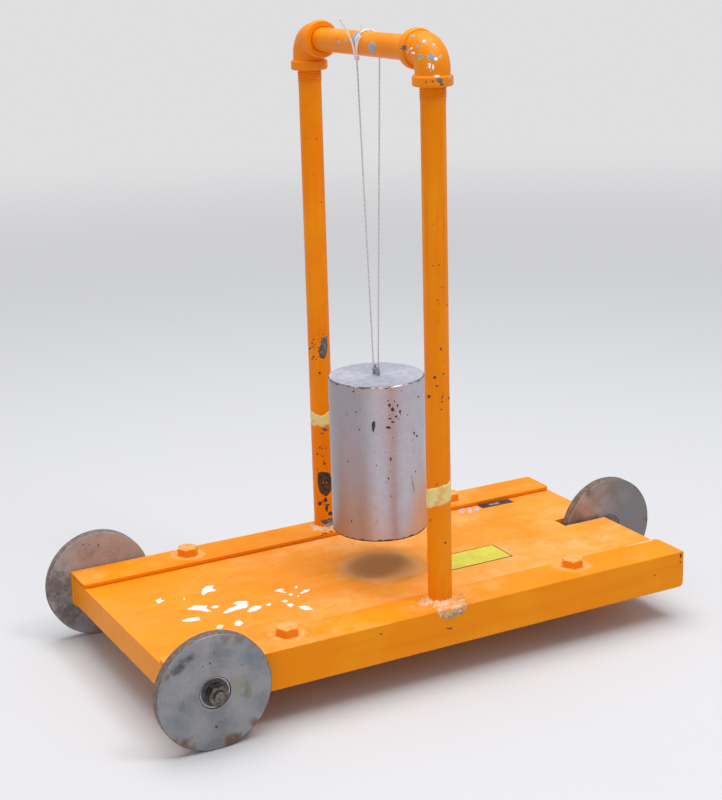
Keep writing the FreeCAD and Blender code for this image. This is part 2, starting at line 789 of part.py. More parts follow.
def make_weight_eye():
    """A staple of wire across the cart, its legs let into the cylinder."""
    body = new_body("weight_eye")
    radius, rise, depth = size["eye_radius"], size["eye_rise"], size["eye_depth"]
    add_run(body, "XY_Plane", -depth, size["eye_wire"], depth + rise, y=-radius)
    add_turn(body, rise, size["eye_wire"], -radius, 0, 180)
    add_run(body, "XY_Plane", -depth, size["eye_wire"], depth + rise, y=radius)
    keep(place(body, post_x, size["pendulum_middle"], weight_top), "weight_eye")


def line_route():
    """Radii and tangent points of the taut loop, in its own plane about the crossbar's centre.

    The loop leaves the knot downwards, turns under the eye's arch, comes up the rear side
    and goes over the crossbar back to the knot. Heights are below the crossbar's centre.
    """
    half_line = size["line_diameter"].value / 2
    bar = size["pipe_outer"].value / 2 + size["line_gap_at_bar"].value + half_line
    eye = size["eye_wire"].value / 2 + size["line_gap_at_eye"].value + half_line
    arch_z = (weight_top + size["eye_rise"] + size["eye_radius"]).value
    drop = crossbar_z.value - arch_z
    lean = math.asin((bar - eye) / drop)
    return bar, eye, drop, lean


def line_point(radius, centre_z, angle):
    return Vector(radius * math.cos(angle), 0, centre_z + radius * math.sin(angle))


def tube(edges, diameter):
    """A round tube along lines and tangent arcs, checked by its volume."""
    runs = []
    for edge in edges:
        start = edge.valueAt(edge.FirstParameter)
        direction = edge.tangentAt(edge.FirstParameter)
        section = Part.Face(Part.Wire(Part.makeCircle(diameter / 2, start, direction)))
        if isinstance(edge.Curve, Part.Line):
            runs.append(section.extrude(direction * edge.Length))
        else:
            centre = edge.Curve.Center
            turn = math.degrees(edge.Length / edge.Curve.Radius)
            runs.append(section.revolve(centre, (start - centre).cross(direction), turn))
    solid = runs[0].fuse(runs[1:])
    length = sum(edge.Length for edge in edges)
    expected = math.pi * (diameter / 2) ** 2 * length
    if abs(solid.Volume - expected) > 0.01 * expected:
        raise RuntimeError("a tube's volume doesn't match its length")
    return solid.Solids[0], length


def arc_through(first, middle, last):
    return Part.Arc(first, middle, last).toShape()


def make_line():
    bar, eye, drop, lean = line_route()
    knot_top = -size["knot_drop"].value + size["knot_height"].value / 2
    knot_bottom = knot_top - size["knot_height"].value
    front_bar = line_point(bar, 0, math.pi + lean)
    front_eye = line_point(eye, -drop, math.pi + lean)
    rear_bar = line_point(bar, 0, -lean)
    rear_eye = line_point(eye, -drop, -lean)
    run = front_eye - front_bar

    def on_front(z):
        return front_bar + run * ((z - front_bar.z) / run.z)

    edges = [
        Part.LineSegment(on_front(knot_bottom), front_eye).toShape(),
        arc_through(front_eye, line_point(eye, -drop, -math.pi / 2), rear_eye),
        Part.LineSegment(rear_eye, rear_bar).toShape(),
        arc_through(rear_bar, line_point(bar, 0, math.pi / 2), front_bar),
        Part.LineSegment(front_bar, on_front(knot_top)).toShape(),
    ]
    solid, length = tube(edges, size["line_diameter"].value)
    print("line: %.1f mm between the knot's sides, radii %.2f at the bar and %.2f at the eye"
          % (length, bar, eye))
    line = doc.addObject("Part::Feature", "Line")
    line.Shape = solid
    keep(place(line, post_x, size["pendulum_middle"], crossbar_z), "suspension_line")
    return solid, on_front(-size["knot_drop"].value)


# The knot's two free ends, about the knot: the thick one springs out forwards and up, and the
# thin one lies up the front of the crossbar. Points were set by eye.
OUTER_TAIL = ((-1.2, 0, 2.0), (-2.1, 0, 8.0), (-5.4, 0, 15.8), (-10.4, 0, 26.0), (-15.4, 0, 34.0))
INNER_TAIL = ((-1.2, -2.4, 0.6), (-2.6, -4.6, 6.5), (-1.9, -5.4, 13.6), (0.9, -6.0, 20.6), (1.6, -6.4, 28.6))


def rounded_path(points):
    """Straight runs through points, each corner an arc as large as its two runs allow."""
    corners = [Vector(*point) for point in points]
    edges = []
    start = corners[0]
    for before, corner, after in zip(corners, corners[1:], corners[2:]):
        into = corner - before
        out = after - corner
        turn = into.getAngle(out)
        cut = 0.45 * min(into.Length, out.Length)
        radius = cut / math.tan(turn / 2)
        print("tail: radius %.1f mm at a turn of %.1f degrees" % (radius, math.degrees(turn)))
        into.normalize()
        out.normalize()
        first = corner - into * cut
        last = corner + out * cut
        inward = (out - into).normalize()
        middle = corner + inward * (math.hypot(radius, cut) - radius)
        edges.append(Part.LineSegment(start, first).toShape())
        edges.append(arc_through(first, middle, last))
        start = last
    edges.append(Part.LineSegment(start, corners[-1]).toShape())
    return edges


def make_knot(line_solid, knot_centre):
    """A lump with the line's two free ends, cut to the taut line where it leaves the lump."""
    width, height = size["knot_width"].value, size["knot_height"].value
    slab = Part.makeBox(2 * width, 2 * width, height, Vector(-width, -width, -height / 2))
    core = Part.makeSphere(width / 2).common(slab)
    thick, thick_length = tube(rounded_path(OUTER_TAIL), size["tail_diameter"].value)
    thin, thin_length = tube(rounded_path(INNER_TAIL), size["line_diameter"].value)
    print("tails: %.1f and %.1f mm" % (thick_length, thin_length))
    knot = doc.addObject("Part::Feature", "Knot")
    passing = line_solid.translated(-knot_centre)
    knot.Shape = core.fuse([thick, thin]).cut(passing).removeSplitter()
    keep(place(knot, post_x + knot_centre.x, size["pendulum_middle"], crossbar_z + knot_centre.z), "line_knot")


make_deck_board()
make_rail("near_rail", -1)
make_rail("far_rail", 1)
make_posts_and_crossbar()
make_elbow("near_elbow", -1, UPRIGHT)
make_elbow("far_elbow", 1, Rotation(Vector(0, 0, 1), 180))
make_weld("near_weld", -1, True)
make_weld("far_weld", 1, False)
make_deck_fasteners()
front_wheel_y = rail_outer_y + size["wheel_gap"] + size["wheel_width"] / 2
make_wheel("near_front", -front_wheel_y)
make_wheel("far_front", front_wheel_y)
make_wheel("rear", size["slot_middle"])
make_front_axle()
make_rear_axle()
make_weight()
make_weight_eye()
make_knot(*make_line())
doc.recompute()

for item in doc.Objects:
    if "Invalid" in item.State or "Error" in item.State:
        raise RuntimeError("%s failed: %s" % (item.Name, item.State))

os.makedirs("parts", exist_ok=True)
for item in subparts:
    if item.Shape.isNull() or not item.Shape.isValid():
        raise RuntimeError(item.Label + " has no valid shape")
    item.Shape.exportStep("parts/%s.step" % item.Label)
    print("%-22s %2d solid(s) %10.1f mm3" % (item.Label, len(item.Shape.Solids), item.Shape.Volume))
print(len(subparts), "nodes")
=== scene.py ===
import random
from functools import cache
from math import cos, pi, radians, sin, tau

import bmesh
import bpy
from mathutils import Matrix, Vector, noise
from mathutils.bvhtree import BVHTree


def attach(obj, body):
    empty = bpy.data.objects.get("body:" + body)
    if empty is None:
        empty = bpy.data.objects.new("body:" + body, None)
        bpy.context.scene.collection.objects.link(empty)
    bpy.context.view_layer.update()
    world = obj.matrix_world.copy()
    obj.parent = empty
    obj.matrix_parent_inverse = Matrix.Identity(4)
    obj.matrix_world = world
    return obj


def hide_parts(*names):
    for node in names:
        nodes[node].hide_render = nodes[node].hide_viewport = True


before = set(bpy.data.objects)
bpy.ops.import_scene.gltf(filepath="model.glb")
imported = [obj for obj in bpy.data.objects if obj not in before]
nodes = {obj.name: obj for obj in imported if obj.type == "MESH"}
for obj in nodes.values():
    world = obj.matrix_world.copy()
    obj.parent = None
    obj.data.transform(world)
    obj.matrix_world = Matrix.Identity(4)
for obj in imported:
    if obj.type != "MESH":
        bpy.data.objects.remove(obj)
link = bpy.context.scene.collection.objects.link


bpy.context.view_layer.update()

# Places on the cart, in metres

POST_X, POST_Y, POST_RADIUS = -0.01665, 0.1115, 0.01065
BOARD_TOP, FLANGE_TOP = 0.0647, 0.0687
RAIL_EDGE = 0.1315
BAR_Z = 0.5467
PENDULUM_Y = -0.0032
WEIGHT_LOW, WEIGHT_HIGH = 0.1057, 0.2517
AXLE_Z = WHEEL_RADIUS = 0.0508
RACE_RADIUS = 0.014
WHEELS = {
    "near_front": (-0.24735, -0.13725),
    "far_front": (-0.24735, 0.13725),
    "rear": (0.24735, 0.0025),
}
BOLTS = [(x, y) for x in (-0.16365, 0.13035) for y in (-0.105, 0.114)]

# Camera, at the place from which the photograph was taken

IMAGE_WIDTH, IMAGE_HEIGHT = 722, 800
LENS, SENSOR = 82.42, 36.0
EYE = Vector((-0.70975, -1.2803, 0.6437))
AZIMUTH, ELEVATION, ROLL = radians(-27.92), radians(15.97), radians(-1.58)

forward = Vector((-sin(AZIMUTH) * cos(ELEVATION), cos(AZIMUTH) * cos(ELEVATION), -sin(ELEVATION)))
level_right = forward.cross(Vector((0, 0, 1))).normalized()
level_up = level_right.cross(forward)
right = level_right * cos(ROLL) + level_up * sin(ROLL)
up = level_up * cos(ROLL) - level_right * sin(ROLL)

camera_data = bpy.data.cameras.new("photo_camera")
camera_data.lens = LENS
camera_data.sensor_width = SENSOR
camera_data.sensor_fit = "HORIZONTAL"
camera = bpy.data.objects.new("photo_camera", camera_data)
camera.matrix_world = Matrix.Translation(EYE) @ Matrix((right, up, -forward)).transposed().to_4x4()
link(camera)
bpy.context.scene.camera = camera


def sight(u, v):
    """The direction from the camera through a point of the photograph, given in pixels."""
    pixels = LENS / SENSOR * IMAGE_WIDTH
    aside = (u - IMAGE_WIDTH / 2) / pixels
    above = (IMAGE_HEIGHT / 2 - v) / pixels
    return (forward + right * aside + up * above).normalized()


# Node materials


def shade(red, green, blue):
    """A colour given as 0 to 255 values of an ordinary picture, as linear light."""
    linear = [value / 12.92 if value <= 0.04045 else ((value + 0.055) / 1.055) ** 2.4
              for value in (red / 255, green / 255, blue / 255)]
    return (*linear, 1.0)


class Finish:
    """A material under construction; patterns are laid out in the object's own metres.

    A colour is three values from 0 to 255, as in an ordinary picture.
    """

    def __init__(self, name, metallic=0.0, roughness=0.5, specular=0.5, anisotropic=0.0):
        self.material = bpy.data.materials.new(name)
        self.material.use_nodes = True
        self.tree = self.material.node_tree
        self.shader = self.tree.nodes["Principled BSDF"]
        for socket, value in (("Metallic", metallic), ("Roughness", roughness),
                              ("Specular IOR Level", specular), ("Anisotropic", anisotropic)):
            self.shader.inputs[socket].default_value = value
        coordinates = self.node("ShaderNodeTexCoord")
        self.position = coordinates.outputs["Object"]
        self.facing = coordinates.outputs["Normal"]
        self.height = None

    def node(self, kind, *values, **inputs):
        """A new node, with its first inputs fed in order and others by name."""
        made = self.tree.nodes.new(kind)
        for index, value in enumerate(values):
            self.feed(made.inputs[index], value)
        for name, value in inputs.items():
            self.feed(made.inputs[name.replace("_", " ")], value)
        return made

    def feed(self, socket, value):
        if isinstance(value, bpy.types.NodeSocket):
            self.tree.links.new(value, socket)
        elif socket.type == "RGBA" and len(value) == 3:
            socket.default_value = shade(*value)
        else:
            socket.default_value = value

    def calc(self, operation, *values):
        made = self.node("ShaderNodeMath", *values)
        made.operation = operation
        return made.outputs[0]

    def chain(self, operation, values):
        """One operation carried along a row of values."""
        total = values[0]
        for value in values[1:]:
            total = self.calc(operation, total, value)
        return total

    def times(self, *values):
        return self.chain("MULTIPLY", values)

    def plus(self, *values):
        return self.chain("ADD", values)

    def any_of(self, *masks):
        return self.chain("MAXIMUM", masks)

    def minus(self, first, second):
        return self.calc("SUBTRACT", first, second)

    def vector(self, operation, first, second=(0.0, 0.0, 0.0), output="Vector"):
        made = self.node("ShaderNodeVectorMath", first, second)
        made.operation = operation
        return made.outputs[output]

    def stretched(self, x, y, z, position=None):
        return self.vector("MULTIPLY", position or self.position, (x, y, z))

    def split(self, vector=None):
        made = self.node("ShaderNodeSeparateXYZ", vector or self.position)
        return made.outputs["X"], made.outputs["Y"], made.outputs["Z"]

    def cloud(self, scale, detail=3.0, roughness=0.55, vector=None):
        made = self.node("ShaderNodeTexNoise", Scale=scale, Detail=detail, Roughness=roughness,
                         Vector=vector or self.position)
        return made.outputs["Fac"]

    def streaks(self, x, y, z, detail=3.0, roughness=0.55):
        """Noise with a scale of its own along each axis."""
        return self.cloud(1.0, detail, roughness, self.stretched(x, y, z))

    def band(self, value, low, high, bottom=0.0, top=1.0):
        """Smoothly from bottom to top while the value goes from low to high."""
        made = self.node("ShaderNodeMapRange", Value=value, From_Min=low, From_Max=high,
                         To_Min=bottom, To_Max=top)
        made.interpolation_type = "SMOOTHSTEP"
        return made.outputs["Result"]

    def upward(self, low, high):
        """From 0 to 1 while a surface turns from its side to the top."""
        return self.band(self.split(self.facing)[2], low, high)

    def blend(self, amount, first, second):
        made = self.tree.nodes.new("ShaderNodeMix")
        made.data_type = "RGBA"
        made.clamp_factor = True
        self.feed(made.inputs[0], amount)
        self.feed(made.inputs[6], first)
        self.feed(made.inputs[7], second)
        return made.outputs[2]

    def spot(self, centre, reach, raggedness=0.35, grain=400.0, flat=None, inner=0.8):
        """1 inside a ragged patch round a point, 0 outside; flat names an axis that is ignored."""
        offset = self.vector("SUBTRACT", self.position, centre)
        if flat is not None:
            offset = self.stretched(*(0.0 if axis == flat else 1.0 for axis in "xyz"), position=offset)
        distance = self.vector("LENGTH", offset, output="Value")
        ragged = self.times(self.minus(self.cloud(grain), 0.5), reach * raggedness * 4)
        return self.band(self.plus(distance, ragged), reach * 1.1, reach * inner)

    def bump(self, value, distance, strength=1.0):
        made = self.node("ShaderNodeBump", Distance=distance, Strength=strength, Height=value)
        if self.height is not None:
            self.feed(made.inputs["Normal"], self.height)
        self.height = made.outputs[0]

    def turned_about(self, axis):
        """The brushing runs round an axis."""
        tangent = self.node("ShaderNodeTangent")
        tangent.direction_type = "RADIAL"
        tangent.axis = axis
        self.feed(self.shader.inputs["Tangent"], tangent.outputs[0])

    def done(self, colour, roughness=None, metallic=None):
        for name, value in (("Base Color", colour), ("Roughness", roughness), ("Metallic", metallic),
                            ("Normal", self.height)):
            if value is not None:
                self.feed(self.shader.inputs[name], value)
        return self.material


BOARD_ORANGE = ((242, 140, 0), (234, 124, 0), (245, 150, 10))
PIPE_ORANGE = ((243, 134, 0), (224, 114, 0), (247, 147, 8))
DUST = (250, 180, 112)
RUST = (104, 62, 38)


def orange_paint(name, colours, stretch, streaks, dust, dust_low, specks=0.0, rings=(), roughness=0.38,
                 specular=0.12, lumps=0.0):
    """Brushed orange enamel: paler and deeper patches, handling dust on top, and fine specks."""
    paint = Finish(name, specular=specular)
    plain, deep, light = colours
    colour = paint.blend(paint.band(paint.cloud(14, 4), 0.4, 0.7), plain, light)
    brushed = paint.streaks(*stretch, 4, 0.6)
    colour = paint.blend(paint.band(brushed, 0.48, 0.72, 0.0, streaks), colour, deep)
    settled = paint.band(paint.cloud(24, 6, 0.62), dust_low, dust_low + 0.22, 0.0, dust)
    haze = paint.times(settled, paint.upward(0.55, 0.9))
    for centre in rings:
        around = paint.spot(centre, 0.0175, 0.12, 260.0, flat="z")
        haze = paint.any_of(haze, paint.times(around, paint.band(paint.cloud(160), 0.34, 0.6, 0.2, 0.8)))
    colour = paint.blend(haze, colour, DUST)
    if specks:
        dots = paint.band(paint.cloud(330, 2, 0.5), 0.76 - specks, 0.79 - specks)
        colour = paint.blend(dots, colour, RUST)
    paint.bump(paint.cloud(420, 2), 0.00006, 0.5)
    paint.bump(brushed, 0.00012, 0.5)
    if lumps:
        paint.bump(paint.cloud(150, 3), lumps, 0.6)
    return paint.done(colour, roughness=paint.plus(paint.times(haze, 0.34), roughness))


def wood_paint():
    """The deck's enamel: streaked along the grain, hazed with pale dust, scuffed and specked, with painted
    light paling the weight's shadow.
    """
    paint = Finish("deck_enamel", specular=0.12)
    plain, deep, light = BOARD_ORANGE
    colour = paint.blend(paint.band(paint.cloud(9, 4), 0.36, 0.64), plain, light)
    grain = paint.streaks(7, 95, 95, 5, 0.6)
    colour = paint.blend(paint.band(grain, 0.5, 0.72, 0.0, 0.5), colour, deep)
    upward = paint.upward(0.55, 0.9)
    wide = paint.band(paint.streaks(8.8, 16.5, 11, 5, 0.62), 0.38, 0.62, 0.12, 0.62)
    fine = paint.band(paint.cloud(70, 5, 0.66), 0.4, 0.66, 0.6, 1.25)
    settled = paint.band(paint.split()[0], -0.22, -0.03, 0.3, 1.0)
    # Painted light: a pale patch on the deck where the weight's shadow falls, lightening that shadow.
    painted_light_under_weight = paint.spot((POST_X, PENDULUM_Y, BOARD_TOP), 0.042, 0.12, 30.0, flat="z")
    haze = paint.any_of(paint.times(wide, fine, upward, settled), paint.times(painted_light_under_weight, 0.88, upward))
    colour = paint.blend(haze, colour, DUST)
    scuffs = paint.band(paint.streaks(60, 300, 60, 4, 0.6), 0.62, 0.76)
    colour = paint.blend(paint.times(scuffs, upward, 0.5), colour, (252, 196, 132))
    dots = paint.band(paint.cloud(240, 2, 0.5), 0.77, 0.8)
    colour = paint.blend(dots, colour, RUST)
    paint.bump(grain, 0.0003, 0.4)
    paint.bump(paint.cloud(300, 2), 0.00008, 0.4)
    return paint.done(colour, roughness=paint.plus(paint.times(haze, 0.3), 0.42))


def bolt_paint():
    paint = Finish("bolt_enamel", specular=0.3)
    plain, _, light = BOARD_ORANGE
    colour = paint.blend(paint.band(paint.cloud(90), 0.4, 0.66), plain, light)
    upward = paint.upward(0.8, 0.97)
    worn = paint.times(paint.band(paint.cloud(230, 4, 0.6), 0.36, 0.6, 0.2, 0.9), upward)
    colour = paint.blend(worn, colour, (246, 178, 108))
    paint.bump(paint.cloud(520, 2), 0.0001, 0.5)
    return paint.done(colour, roughness=0.42)


def about_hub(steel, centre):
    """Distances from a wheel's middle: along the cart, and radial."""
    x, _, z = steel.split()
    across = steel.minus(x, centre[0])
    above = steel.minus(z, AXLE_Z)
    squares = steel.plus(steel.times(across, across), steel.times(above, above))
    return across, steel.calc("SQRT", squares)


def disc_steel(name, centre, tint, dark, lines, rust=0.0, rim_start=0.8, marks=(), stains_and_shade=(), sides=None,
               metallic=0.85, roughness=0.34):
    """Faced steel: fine turning marks about the hub, brown rust at the rim, a brown tread.

    Marks are (across, above, size) from the hub, stains the same with a strength and a colour, among them
    painted shade on the far wheel; sides are tints of the left and right half, on the rear wheel a painted
    reflection.
    """
    steel = Finish(name, anisotropic=0.55)
    steel.turned_about("Y")

    def near_hub(spot_x, spot_z, *look, inner=0.8):
        place = (centre[0] + spot_x, centre[1], AXLE_Z + spot_z)
        return steel.spot(place, *look, flat="y", inner=inner)

    across, radius = about_hub(steel, centre)
    reach = steel.calc("DIVIDE", radius, WHEEL_RADIUS)
    turned = steel.node("ShaderNodeCombineXYZ", X=steel.times(radius, 900.0))
    rings = steel.cloud(1.0, 4, 0.7, turned.outputs[0])
    patchy = steel.cloud(34, 5, 0.62)
    # A tint running from the left half to the right half; on the rear wheel it is a painted reflection, warm
    # and light on the left, darker grey on the right.
    if sides:
        tint = steel.blend(steel.band(across, -0.028, 0.024), *sides)
    colour = steel.blend(steel.band(patchy, 0.36, 0.68), tint, dark)
    colour = steel.blend(steel.band(rings, 0.42, 0.7, 0.0, lines), colour, (196, 194, 196))
    # Patches laid over the face's colour: stains, and on the far wheel painted shade.
    for spot_x, spot_z, spread, strength, patch_colour in stains_and_shade:
        mask = near_hub(spot_x, spot_z, spread * 1.25, 0.5, 150.0, inner=0.1)
        colour = steel.blend(steel.times(mask, strength), colour, patch_colour)
    uneven = steel.times(steel.minus(patchy, 0.5), 0.9)
    outer = steel.band(steel.plus(reach, uneven), rim_start + 0.14, rim_start + 0.3)
    rim = steel.times(outer, steel.band(steel.cloud(75, 4), 0.46 - rust, 0.66 - rust))
    brown = steel.any_of(rim, steel.band(reach, 0.985, 0.995, 0.0, 0.8))
    mottle = steel.blend(steel.band(steel.cloud(260), 0.4, 0.6), (132, 108, 92), (98, 78, 66))
    colour = steel.blend(brown, colour, mottle)
    dots = [near_hub(*mark, 0.25, 900.0) for mark in marks]
    pitted = steel.any_of(steel.band(steel.cloud(420, 1.5), 0.735, 0.765), *dots)
    colour = steel.blend(pitted, colour, (62, 58, 54))
    steel.bump(rings, 0.00005, 0.35)
    steel.bump(steel.minus(steel.times(brown, steel.cloud(700)), pitted), 0.0002, 0.5)
    dull = steel.any_of(brown, pitted)
    rough = steel.plus(steel.times(dull, 0.38), steel.band(patchy, 0.3, 0.7, roughness, roughness + 0.12))
    bare = steel.minus(1.0, steel.times(dull, 0.88))
    return steel.done(colour, roughness=rough, metallic=steel.times(bare, metallic))


def race_steel(name, centre, edge, seam_tint):
    """Bearing races, with a tint for the outer one's edge and one for the seam next to it."""
    steel = Finish(name, metallic=0.8)
    _, radius = about_hub(steel, centre)
    patchy = steel.cloud(240, 4, 0.6)
    colour = steel.blend(steel.band(patchy, 0.36, 0.64), (128, 122, 118), (96, 90, 86))
    # A thin ring at the outer race's edge; on the near wheel its pale tint is a painted highlight on the
    # race's chamfer.
    colour = steel.blend(steel.band(radius, RACE_RADIUS - 0.0015, RACE_RADIUS - 0.0013), colour, edge)
    ragged = steel.plus(radius, steel.times(patchy, 0.0006))
    seam = steel.band(ragged, RACE_RADIUS - 0.0006, RACE_RADIUS - 0.0003)
    colour = steel.blend(seam, colour, seam_tint)
    steel.bump(patchy, 0.00005, 0.5)
    return steel.done(colour, roughness=steel.band(patchy, 0.3, 0.7, 0.24, 0.4))


def weight_steel():
    """Turned bar steel, gone pale and slightly pink, a rusty line round both ends, and painted shade down
    its left side.
    """
    steel = Finish("weight_steel", anisotropic=0.3)
    steel.turned_about("Z")
    lines = steel.streaks(8, 8, 700, 4, 0.7)
    soft = steel.streaks(20, 20, 7, 4, 0.6)
    mottle = steel.cloud(120, 5, 0.7)
    colour = steel.blend(steel.band(soft, 0.36, 0.66), (190, 190, 200), (204, 190, 194))
    colour = steel.blend(steel.band(mottle, 0.44, 0.66, 0.0, 0.22), colour, (162, 158, 168))
    # Painted shade: the cylinder's left side is darkened, standing in for the dark surroundings it reflects.
    painted_shade_left = steel.band(steel.split()[0], POST_X - 0.02, POST_X - 0.036, 0.0, 0.6)
    colour = steel.blend(painted_shade_left, colour, (148, 140, 146))
    colour = steel.blend(steel.band(lines, 0.48, 0.76, 0.0, 0.12), colour, (150, 150, 160))
    upward = steel.upward(0.9, 0.98)
    worn = steel.blend(steel.band(mottle, 0.4, 0.62), (200, 203, 216), (184, 187, 200))
    colour = steel.blend(upward, colour, worn)
    ragged = steel.times(steel.minus(steel.cloud(170, 4), 0.5), 0.0056)
    height = steel.plus(steel.split()[2], ragged)
    lower = steel.band(height, WEIGHT_LOW + 0.0023, WEIGHT_LOW + 0.0011)
    upper = steel.times(steel.band(height, WEIGHT_HIGH - 0.0015, WEIGHT_HIGH - 0.0006),
                        steel.upward(0.92, 0.6), steel.band(steel.cloud(130, 3), 0.34, 0.48))
    edge = steel.any_of(lower, upper)
    pits = steel.band(steel.cloud(330, 2), 0.735, 0.765)
    marks = steel.any_of(pits, steel.band(steel.streaks(260, 260, 120), 0.68, 0.76, 0.0, 0.45))
    colour = steel.blend(marks, colour, (96, 88, 88))
    colour = steel.blend(edge, colour, (78, 56, 44))
    steel.bump(lines, 0.00003, 0.2)
    steel.bump(steel.minus(1.0, marks), 0.00015, 0.5)
    dull = steel.any_of(edge, marks, steel.times(upward, 0.35))
    rough = steel.plus(steel.times(dull, 0.4), steel.band(soft, 0.3, 0.7, 0.34, 0.44))
    return steel.done(colour, roughness=rough, metallic=steel.minus(0.9, steel.times(dull, 0.7)))


def plain_metal(name, light, dark, roughness, grain, rust=0.0, metallic=0.9):
    metal = Finish(name)
    patchy = metal.cloud(grain, 4, 0.6)
    colour = metal.blend(metal.band(patchy, 0.35, 0.65), light, dark)
    brown = metal.band(metal.cloud(grain * 0.8, 5, 0.65), 0.66 - rust, 0.76 - rust)
    colour = metal.blend(brown, colour, (112, 78, 54))
    metal.bump(metal.cloud(grain * 4, 2), 0.00006, 0.5)
    rough = metal.plus(metal.times(brown, 0.3), roughness)
    return metal.done(colour, roughness=rough, metallic=metal.minus(metallic, metal.times(brown, 0.7)))


def dull_finish(name, light, dark, roughness, grain=200.0, relief=0.0001, low=0.38, high=0.64):
    finish = Finish(name, roughness=roughness)
    patchy = finish.cloud(grain, 4, 0.6)
    finish.bump(patchy, relief, 0.6)
    return finish.done(finish.blend(finish.band(patchy, low, high), light, dark))


def weld_finish():
    """Spatter and slag: cream and pinkish paint over grey-green metal."""
    weld = Finish("weld_bead", roughness=0.6, specular=0.3)
    colour = weld.blend(weld.band(weld.cloud(120, 4), 0.38, 0.62), (240, 182, 118), (238, 204, 178))
    colour = weld.blend(weld.band(weld.cloud(260, 4, 0.65), 0.46, 0.56, 0.0, 0.8), colour, PIPE_ORANGE[2])
    x, _, z = weld.split()
    low = weld.band(z, 0.0692, 0.066)
    rightward = weld.band(x, POST_X + 0.008, POST_X + 0.016, 0.0, 0.7)
    worn = weld.any_of(low, rightward, weld.band(weld.cloud(90), 0.62, 0.72))
    flaked = weld.times(weld.band(weld.cloud(220, 5, 0.7), 0.44, 0.56), worn)
    colour = weld.blend(flaked, colour, (146, 150, 136))
    weld.bump(weld.cloud(620, 4, 0.7), 0.0005, 0.8)
    return weld.done(colour)


def tape_finish():
    """Thin yellow masking tape, orange showing through where it has rubbed."""
    tape = Finish("masking_tape", roughness=0.62)
    colour = tape.blend(tape.band(tape.cloud(60, 4), 0.4, 0.62), (236, 213, 134), (230, 222, 150))
    rubbed = tape.band(tape.cloud(130, 4, 0.65), 0.48, 0.62, 0.0, 0.85)
    colour = tape.blend(rubbed, colour, (236, 172, 96))
    tape.bump(tape.streaks(300, 300, 900), 0.0001, 0.5)
    return tape.done(colour)


def twine_finish():
    """Pale twisted twine; the twist shows as slanting bands."""
    twine = Finish("twine", roughness=0.7)
    x, y, z = twine.split()
    turn = twine.plus(twine.times(z, 1400.0), twine.times(twine.plus(x, y), 900.0))
    lay = twine.calc("SINE", turn)
    colour = twine.blend(twine.band(lay, -0.6, 0.9), (196, 192, 194), (212, 207, 206))
    colour = twine.blend(twine.band(z, 0.528, 0.534, 0.1, 0.8), colour, (238, 234, 234))
    twine.bump(lay, 0.00004, 0.4)
    return twine.done(colour)


rail_enamel = orange_paint(
    "rail_enamel", BOARD_ORANGE, stretch=(4, 70, 70), streaks=0.35, dust=0.45, dust_low=0.46,
    rings=[(x, y, FLANGE_TOP) for x, y in BOLTS])
pipe_enamel = orange_paint(
    "pipe_enamel", PIPE_ORANGE, stretch=(110, 110, 4), streaks=0.6, dust=0.3, dust_low=0.55, specks=0.02,
    roughness=0.34)
# On the crossbar the heavier dust on top also stands in for the highlight along its top: dust and painted
# highlight.
bar_enamel = orange_paint(
    "crossbar_enamel", PIPE_ORANGE, stretch=(90, 5, 90), streaks=0.5, dust=0.5, dust_low=0.45, specks=0.01,
    roughness=0.32, specular=0.16)
elbow_enamel = orange_paint(
    "elbow_enamel", PIPE_ORANGE, stretch=(30, 30, 30), streaks=0.3, dust=0.2, dust_low=0.6, specks=0.015,
    roughness=0.36, specular=0.2, lumps=0.0006)
brown_steel = plain_metal("brown_nut", (128, 118, 112), (88, 78, 74), 0.42, 240.0, 0.08)
dark_steel = plain_metal("dark_steel", (92, 92, 94), (66, 66, 68), 0.45, 200.0, 0.02)
ball_steel = plain_metal("bearing_ball", (200, 202, 206), (168, 170, 176), 0.22, 120.0, -0.1)
zinc_steel = plain_metal("zinc_plate", (176, 180, 184), (150, 152, 150), 0.35, 110.0)
wire_steel = plain_metal("grey_wire", (158, 158, 164), (132, 130, 134), 0.5, 300.0, metallic=0.6)
seal_rubber = dull_finish("seal_rubber", (88, 87, 91), (60, 58, 60), 0.6, 300.0)
dusty_rubber = dull_finish("dusty_seal", (132, 124, 120), (108, 102, 100), 0.6, 300.0)
weld_metal = weld_finish()
yellow_tape = tape_finish()
pale_twine = twine_finish()
white_paint = dull_finish("white_paint", (252, 250, 244), (248, 238, 222), 0.5, 260.0, low=0.5, high=0.8)
# Cream for the strip on the near flange's edge: partly a scuff, partly a painted highlight.
scuff_and_highlight_finish = dull_finish("cream_scuff_and_highlight", (250, 214, 172), (246, 190, 128), 0.6, 300.0)
bare_chip = dull_finish("bare_chip", (118, 116, 112), (86, 74, 62), 0.55, 420.0)
rust_chip = dull_finish("rust_chip", (84, 68, 52), (46, 36, 30), 0.75, 380.0, 0.00025)
primer_chip = dull_finish("primer_chip", (134, 150, 172), (176, 178, 178), 0.45, 300.0)

